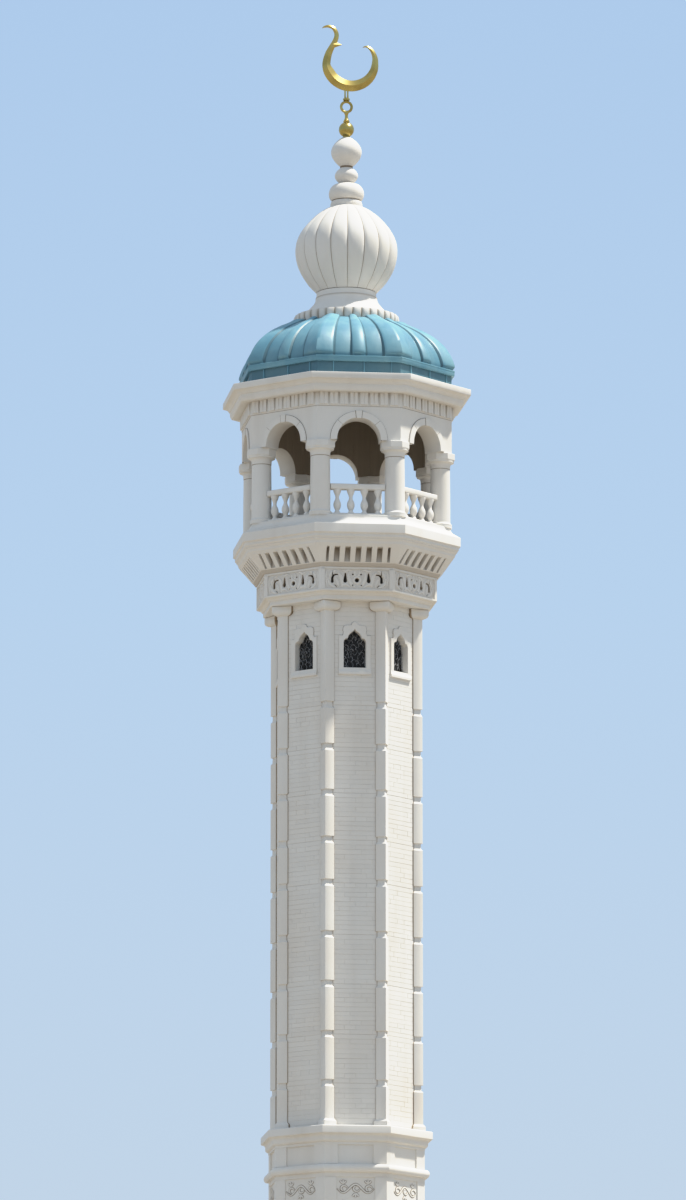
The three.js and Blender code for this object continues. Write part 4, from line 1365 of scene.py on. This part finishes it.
def finial_pedestal():
    """Gadrooned ring, flare and drum: the ring's section swells and shrinks 36 times round. The ring is a
    little greyer all over, with painted shade in its grooves; painted shade also darkens a line at the
    flare's top and the drum's top under the onion.
    """
    skin = Skin()
    lobes, groove_depth = 36, 0.034
    low = (0, DOME_TOP)
    ring = outline((1.16, -0.01), (1.25, 0.0), arc((1.275, 0.02), (1.290, 0.235), 0.10, 8), (1.275, 0.262),
                   (1.10, 0.275)) + low
    reach = np.sin(np.linspace(0, math.pi, len(ring)))[:, None] ** 0.5
    azimuth = np.arange(lobes * 8) * math.tau / (lobes * 8)
    groove = (1 - np.abs(np.sin(azimuth * lobes / 2)) ** 0.4) * reach
    points = around(ring[:, :1] * (1 - groove_depth * groove), azimuth, ring[:, 1:])
    # A little greyer all over, with painted shade in the grooves between the lobes.
    skin.grid(points, round_columns=True, tone=0.465 - 0.16 * groove)
    revolve(skin, outline((0.0, -0.01), (1.17, -0.01)) + low, 48, away_from=(0, 0, DOME_TOP + 1))
    line = smooth_line([(1.04, 0.315), (0.98, 0.38), (0.915, 0.45), (0.85, 0.52), (0.795, 0.59),
                        (0.768, 0.65)], 16)
    body = outline((1.15, 0.255), (1.08, 0.28), line, (0.760, 0.67), (0.757, 0.735), (0.744, 0.742),
                   (0.740, 0.75)) + low
    drum = outline((0.732, -0.036), (0.712, -0.030), (0.712, 0.0), (0.0, 0.0)) + (0, PEDESTAL_TOP)
    body = outline(body, drum)
    tone = np.full(len(body), CLEAN)
    # Painted shade on a line at the flare's top and on the drum's top under the onion.
    tone[-7] = 0.36
    tone[-3:-1] = PAINTED_SHADOW_TONE
    revolve(skin, body, 64, tone=tone[:, None])
    return skin


def onion():
    """Fluted onion of 18 gores: each gore is a little rounder than the whole, rolls off to both its edges
    and meets the next in a narrow seam."""
    skin = Skin()
    bottom, top = 30.66, 32.82
    line = smooth_line([
        (0.735, 30.67), (0.80, 30.735), (0.94, 30.88), (1.045, 31.03), (1.13, 31.18), (1.195, 31.34),
        (1.238, 31.51), (1.255, 31.67), (1.25, 31.82), (1.22, 31.97), (1.155, 32.13), (1.06, 32.28),
        (0.925, 32.44), (0.76, 32.60), (0.575, 32.735), (0.455, 32.80), (0.40, top)], 52)
    profile = outline((0.0, bottom), line, (0.0, top))
    radius, height = profile[:, :1], profile[:, 1:]
    gores = 18
    roundness, roll_depth, seam_depth = 0.024, 0.015, 0.008
    half = math.pi / gores
    first_seam = math.radians(-5.5)
    across = np.array([-1, -0.955, -0.91, -0.82, -0.7, -0.45, -0.15, 0.15, 0.45, 0.7, 0.82, 0.91, 0.955])
    azimuth = np.concatenate([first_seam + half + (2 * k + across) * half for k in range(gores)])
    off = np.abs(np.tile(across, gores))
    roll = np.clip((off - 0.70) / 0.22, 0, 1) ** 2
    inset = roundness * off**2 + roll_depth * roll + seam_depth * (off > 0.99)
    shade = np.where(off > 0.97, 0.27, np.where(off > 0.93, 0.45, CLEAN))
    amount = np.clip(np.minimum(height - bottom, ONION_TOP - height) / 0.12, 0, 1)
    skin.grid(around(radius * (1 - inset * amount), azimuth, height), round_columns=True, tone=shade)
    return skin


def finial_beads():
    """Collar, cap bead, small bead, neck and ball, turned in one piece, with dark lines of painted shade at
    the narrow necks between them.
    """
    skin = Skin()
    collar = outline((0.0, -0.01), (0.385, -0.01), arc((0.385, 0.01), (0.365, 0.165), 0.12, 5),
                     (0.345, 0.172), (0.345, 0.182)) + (0, ONION_TOP)
    cap = smooth_line([(0.365, 33.0), (0.405, 33.04), (0.432, 33.12), (0.430, 33.21), (0.398, 33.30),
                       (0.335, 33.375), (0.25, 33.415)], 20)
    profile = outline(
        collar, cap, (0.20, 33.425), (0.17, 33.43), arc((0.165, 33.44), (0.165, 33.81), 0.33, 14),
        (0.155, 33.83), (0.155, 33.865), arc((0.16, 33.87), (0.13, 34.585), 0.325, 22), (0.0, BEADS_TOP))
    # Painted shade on the narrow necks between the beads.
    painted_shade_and_dirt = (np.abs(profile[:, :1] - (0.345, 0.17, 0.155)) < 1e-6).any(1)
    revolve(skin, profile, 56, tone=np.where(painted_shade_and_dirt, 0.2, CLEAN)[:, None])
    return skin


def crescent():
    """Gilded ball, neck, ring, flange and prongs, and the crescent: a four-sided blade along a curve, with
    its ridge in the middle of both sides and a spur on its longer horn."""
    skin = Skin()
    angle = np.linspace(-1.15, 1.25, 22)
    ball = np.stack([0.188 * np.cos(angle), 0.1925 + 0.188 * np.sin(angle)], -1)
    turning = outline(
        (0.0, -0.01), (0.095, -0.01), (0.085, 0.03), ball, (0.075, 0.38), (0.08, 0.405), (0.062, 0.42),
        arc((0.066, 0.425), (0.044, 0.585), -0.1, 5), (0.056, 0.60), (0.056, 0.635), (0.0, 0.645))
    revolve(skin, turning + (0, BEADS_TOP), 40)
    ring_radius, wire, ring_height = 0.130, 0.033, 35.38
    round_ring = np.linspace(0, math.tau, 48, endpoint=False)[:, None]
    round_wire = np.linspace(0, math.tau, 14, endpoint=False)
    reach = ring_radius + wire * np.cos(round_wire)
    ring, centre_line = (
        on_face(far * np.cos(round_ring), depth, ring_height + far * np.sin(round_ring))
        for far, depth in ((reach, -wire * np.sin(round_wire)), (ring_radius, 0)))
    skin.grid(ring, round_rows=True, round_columns=True, away_from=centre_line[:, 0].repeat(14, 0))
    flange = outline((0.0, 35.525), (0.04, 35.525), (0.085, 35.55), (0.085, 35.585), (0.05, 35.61),
                     (0.0, 35.61))
    revolve(skin, flange, 24)
    prong = outline((0.0, 35.58), (0.024, 35.58), (0.019, 35.70), (0.022, 35.80), (0.0, 35.80))
    for x in (-0.034, 0.034):
        revolve(skin, prong, 12, centre=(x, 0))
    blade(skin)
    return skin


def blade(skin):
    """The crescent's blade. Its middle line and half width are smooth through stations, and its section
    is a flat diamond. The belly's stations lie between an outer and an inner circle."""
    angle = np.radians([205, 225, 245, 262, 280, 300, 320, 342, 2])
    edge = np.stack([np.cos(angle), np.sin(angle)], -1)
    outer = (0.085, 36.46) + edge * 0.68
    inner = (0.1375, 36.585) + edge * 0.53
    belly = np.column_stack([(outer + inner) / 2, np.hypot(*(outer - inner).T) / 2])
    left = [(-0.605, 37.365, 0.005), (-0.55, 37.40, 0.022), (-0.45, 37.42, 0.036), (-0.335, 37.385, 0.045),
            (-0.262, 37.285, 0.052), (-0.245, 37.17, 0.057), (-0.29, 37.03, 0.062), (-0.365, 36.89, 0.070),
            (-0.44, 36.73, 0.084), (-0.485, 36.56, 0.096), (-0.495, 36.42, 0.105)]
    right = [(0.708, 36.66, 0.066), (0.668, 36.775, 0.053), (0.603, 36.87, 0.039), (0.52, 36.925, 0.026),
             (0.445, 36.922, 0.015), (0.405, 36.90, 0.004)]
    line = smooth_line(outline(left, belly, right), 150)
    middle, half = line[:, :2], line[:, 2:]
    side = leftward(middle) * half
    ridge = np.minimum(half[:, 0] * 0.62, 0.07)
    edges = [(middle + side, 0), (middle, ridge), (middle - side, 0), (middle, -ridge)]
    rings = np.stack([line_on_face(place, depth) for place, depth in edges], 1)
    core = line_on_face(middle[:-1], 0).repeat(4, 0)
    skin.grid(rings, round_columns=True, away_from=core)
    skin.lid(rings[0], rings[2].mean(0))
    skin.lid(rings[-1], rings[-3].mean(0))
    section = np.array([(-0.31, 37.045), (-0.33, 36.955), (-0.345, 36.86), (-0.33, 36.955)])
    base = line_on_face(section, np.array([0, -0.045, 0, 0.045]))
    tip = np.broadcast_to((-0.105, 0.0, 36.955), base.shape)
    skin.tube(np.stack([base, base * 0.4 + tip * 0.6, tip]))


# Window screens

def curl(skin, start, angle, length, bend, width, depth, tone):
    """A flat curled stroke: its direction turns by bend on the way, and it narrows towards its tip."""
    t = np.linspace(0, 1, 7)
    heading = angle + bend * t**1.4
    step = np.stack([np.sin(heading), np.cos(heading)], -1) * length / 6
    middle = start + np.vstack([[0, 0], np.cumsum(step[1:], 0)])
    side = np.stack([np.cos(heading), -np.sin(heading)], -1) * (width * (1 - 0.7 * t**2))[:, None]
    rows = [line_on_face(middle + share * side, depth + out)
            for share, out in ((-1, 0.0), (0, 0.005), (1, 0.0))]
    skin.grid(np.stack(rows), facing=FRONT, tone=tone)


def window_screens():
    """A near-black octagonal sheet behind the eight windows, painted shade seen through the piercings, with a
    lattice of curled stems and leaves in each: the strokes further back darker, those in front lighter.
    """
    skin, lattice = Skin(), Skin()
    depth = 1.4836
    radius = depth / COS
    inner = radius - 0.027
    sheet = np.array([(inner, 20.70), (radius, 20.70), (radius, 22.21), (inner, 22.21)])
    # Tone 0 makes the sheet near black: painted shade seen through the lattice.
    sweep_octagon(skin, sheet, tone=0.0)
    random = np.random.default_rng(11)
    for row in range(11):
        for column in range(6):
            place = ((column - 2.5) * 0.096 + (0.02 if row % 2 else -0.02), 21.00 + 0.092 * row)
            sign = 1 if (row + column) % 2 else -1
            for step in range(2):
                shift = random.uniform(-0.025, 0.025, 2)
                tone = random.uniform(0.6, 0.95) if step else random.uniform(0.1, 0.4)
                curl(lattice, place + shift, sign * random.uniform(-0.4, 1.3), random.uniform(0.10, 0.21),
                     -sign * random.uniform(0.8, 4.2), random.uniform(0.004, 0.0085),
                     depth + 0.02 + 0.02 * step, tone)
    skin.join_round(lattice)
    return skin


# The pieces

dress("foot_steps", stepped_foot(), ["stepped_foot"])

for quarter, name in enumerate(["front", "right", "back", "left"]):
    pair = Skin()
    for k in (2 * quarter, 2 * quarter + 1):
        pair.join(lower_face(40 + k, doorway=k == 0), k * TURN)
    dress("lower_storey_" + name, pair, ["lower_wall_" + name])

dress("door_boards", door_leaf(), ["door_leaf"], [TIMBER])
dress("band_carved", carved_band(), ["carved_band"])
dress("shaft_base_moulding", base_cornice(), ["base_cornice"])

for i in range(SIDES):
    dress(f"shaft_face_{i + 1}", shaft_wall(60 + i).at(i * TURN), [f"shaft_wall_{i + 1}"])

dress("leaf_screens", window_screens(), ["window_screens"], [SCREEN_METAL])
dress("frieze_foliage", frieze(), ["frieze"])
dress("corbel_ribs", corbel_ring(), ["corbel_ring"])
dress("gallery_floor", gallery_slab(), ["gallery_slab"], [STONE, TILES])

bay, post, bay_arch = balustrade(), column(), arch()
for i in range(SIDES):
    for name, part, offset, finishes, stands_for in (
            ("rail_and_balusters", bay, 0, [STONE], "balustrade"),
            ("gallery_column", post, 0.5, [STONE], "column"),
            ("gallery_arch", bay_arch, 0, [STONE, SHADE_DARK_LINING], "arch")):
        dress(f"{name}_{i + 1}", part.at((i + offset) * TURN), [f"{stands_for}_{i + 1}"], finishes)

dress("cornice_dentils", top_cornice(), ["top_cornice"], [STONE, SHADE_DARK_LINING])
dress("dome_sheeting", dome(), ["dome"], [DOME_PAINT, SHADE_DARK_LINING], sharp=40)
dress("pedestal_gadroons", finial_pedestal(), ["finial_pedestal"])
dress("onion_gores", onion(), ["onion"], sharp=20)
dress("beads_turned", finial_beads(), ["finial_beads"])
dress("crescent_gilded", crescent(), ["crescent"], [GILDING])


# Stage, light and camera

def pale_ground(radius=60.0, level=-0.004):
    """A round floor under the tower."""
    skin = Skin()
    revolve(skin, np.array([(radius, level), (0.0, level)]), 96)
    ground = bpy.data.objects.new("pale_ground", mesh_of("pale_ground", skin, [plain_floor()]))
    bpy.context.scene.collection.objects.link(ground)


def day_sky():
    """Soft light from all round: pale blue above the horizon, and the warm glow of sunlit ground below."""
    world = bpy.data.worlds.new("day_sky")
    world.use_nodes = True
    tree = world.node_tree
    direction = node(tree, "TexCoord").outputs["Generated"]
    up = node(tree, "SeparateXYZ", {"Vector": direction}).outputs["Z"]
    ramp = node(tree, "ValToRGB", {"Fac": spread(tree, up, -0.4, 0.6)})
    stops = ramp.color_ramp.elements
    stops[0].color = (0.55, 0.50, 0.425, 1)
    stops[1].color = (0.485, 0.555, 0.65, 1)
    for place, colour in ((0.385, (0.62, 0.585, 0.525)), (0.41, (0.57, 0.66, 0.75)),
                          (0.51, (0.539, 0.658, 0.785)), (0.585, (0.474, 0.640, 0.845)),
                          (0.655, (0.423, 0.597, 0.823))):
        stops.new(place).color = (*colour, 1)
    background = tree.nodes["Background"]
    tree.links.new(ramp.outputs[0], background.inputs["Color"])
    background.inputs["Strength"].default_value = 1.0
    bpy.context.scene.world = world


def sun():
    """Late-morning sun from the right, high over the right-hand face."""
    data = bpy.data.lights.new("sun", "SUN")
    data.energy = 5.3
    data.angle = math.radians(2.5)
    data.color = (1.0, 0.95, 0.845)
    lamp = bpy.data.objects.new("sun", data)
    lamp.rotation_euler = Vector((0.462, -0.055, 0.88)).to_track_quat("Z", "Y").to_euler()
    bpy.context.scene.collection.objects.link(lamp)


def camera():
    """A long lens a long way off and lower than the tower's foot, 7 degrees left of the front."""
    distance, height, turn, pitch = 198.6, -14.03, math.radians(7), math.radians(10.562)
    sideways = 0.084
    data = bpy.data.cameras.new("camera")
    data.sensor_width = 36
    data.lens = 248.28
    data.clip_start = 1
    data.clip_end = 2000
    view = bpy.data.objects.new("camera", data)
    view.location = (-math.sin(turn) * distance - math.cos(turn) * sideways,
                     -math.cos(turn) * distance + math.sin(turn) * sideways, height)
    view.rotation_euler = (math.pi / 2 + pitch, 0, -turn)
    bpy.context.scene.collection.objects.link(view)
    bpy.context.scene.camera = view


def soft_highlights():
    """Plain colours, with highlights that roll off above 0.85 of white instead of all turning white at 1."""
    view = bpy.context.scene.view_settings
    view.view_transform = "Standard"
    view.use_curve_mapping = True
    mapping = view.curve_mapping
    mapping.clip_max_x = 2.4
    curve = mapping.curves[3]
    curve.points[-1].location = (2.4, 1.0)
    for place in ((0.3, 0.3), (0.6, 0.6), (0.85, 0.85), (1.15, 0.935), (1.6, 0.98)):
        curve.points.new(*place)
    mapping.update()


pale_ground()
day_sky()
sun()
camera()
soft_highlights()
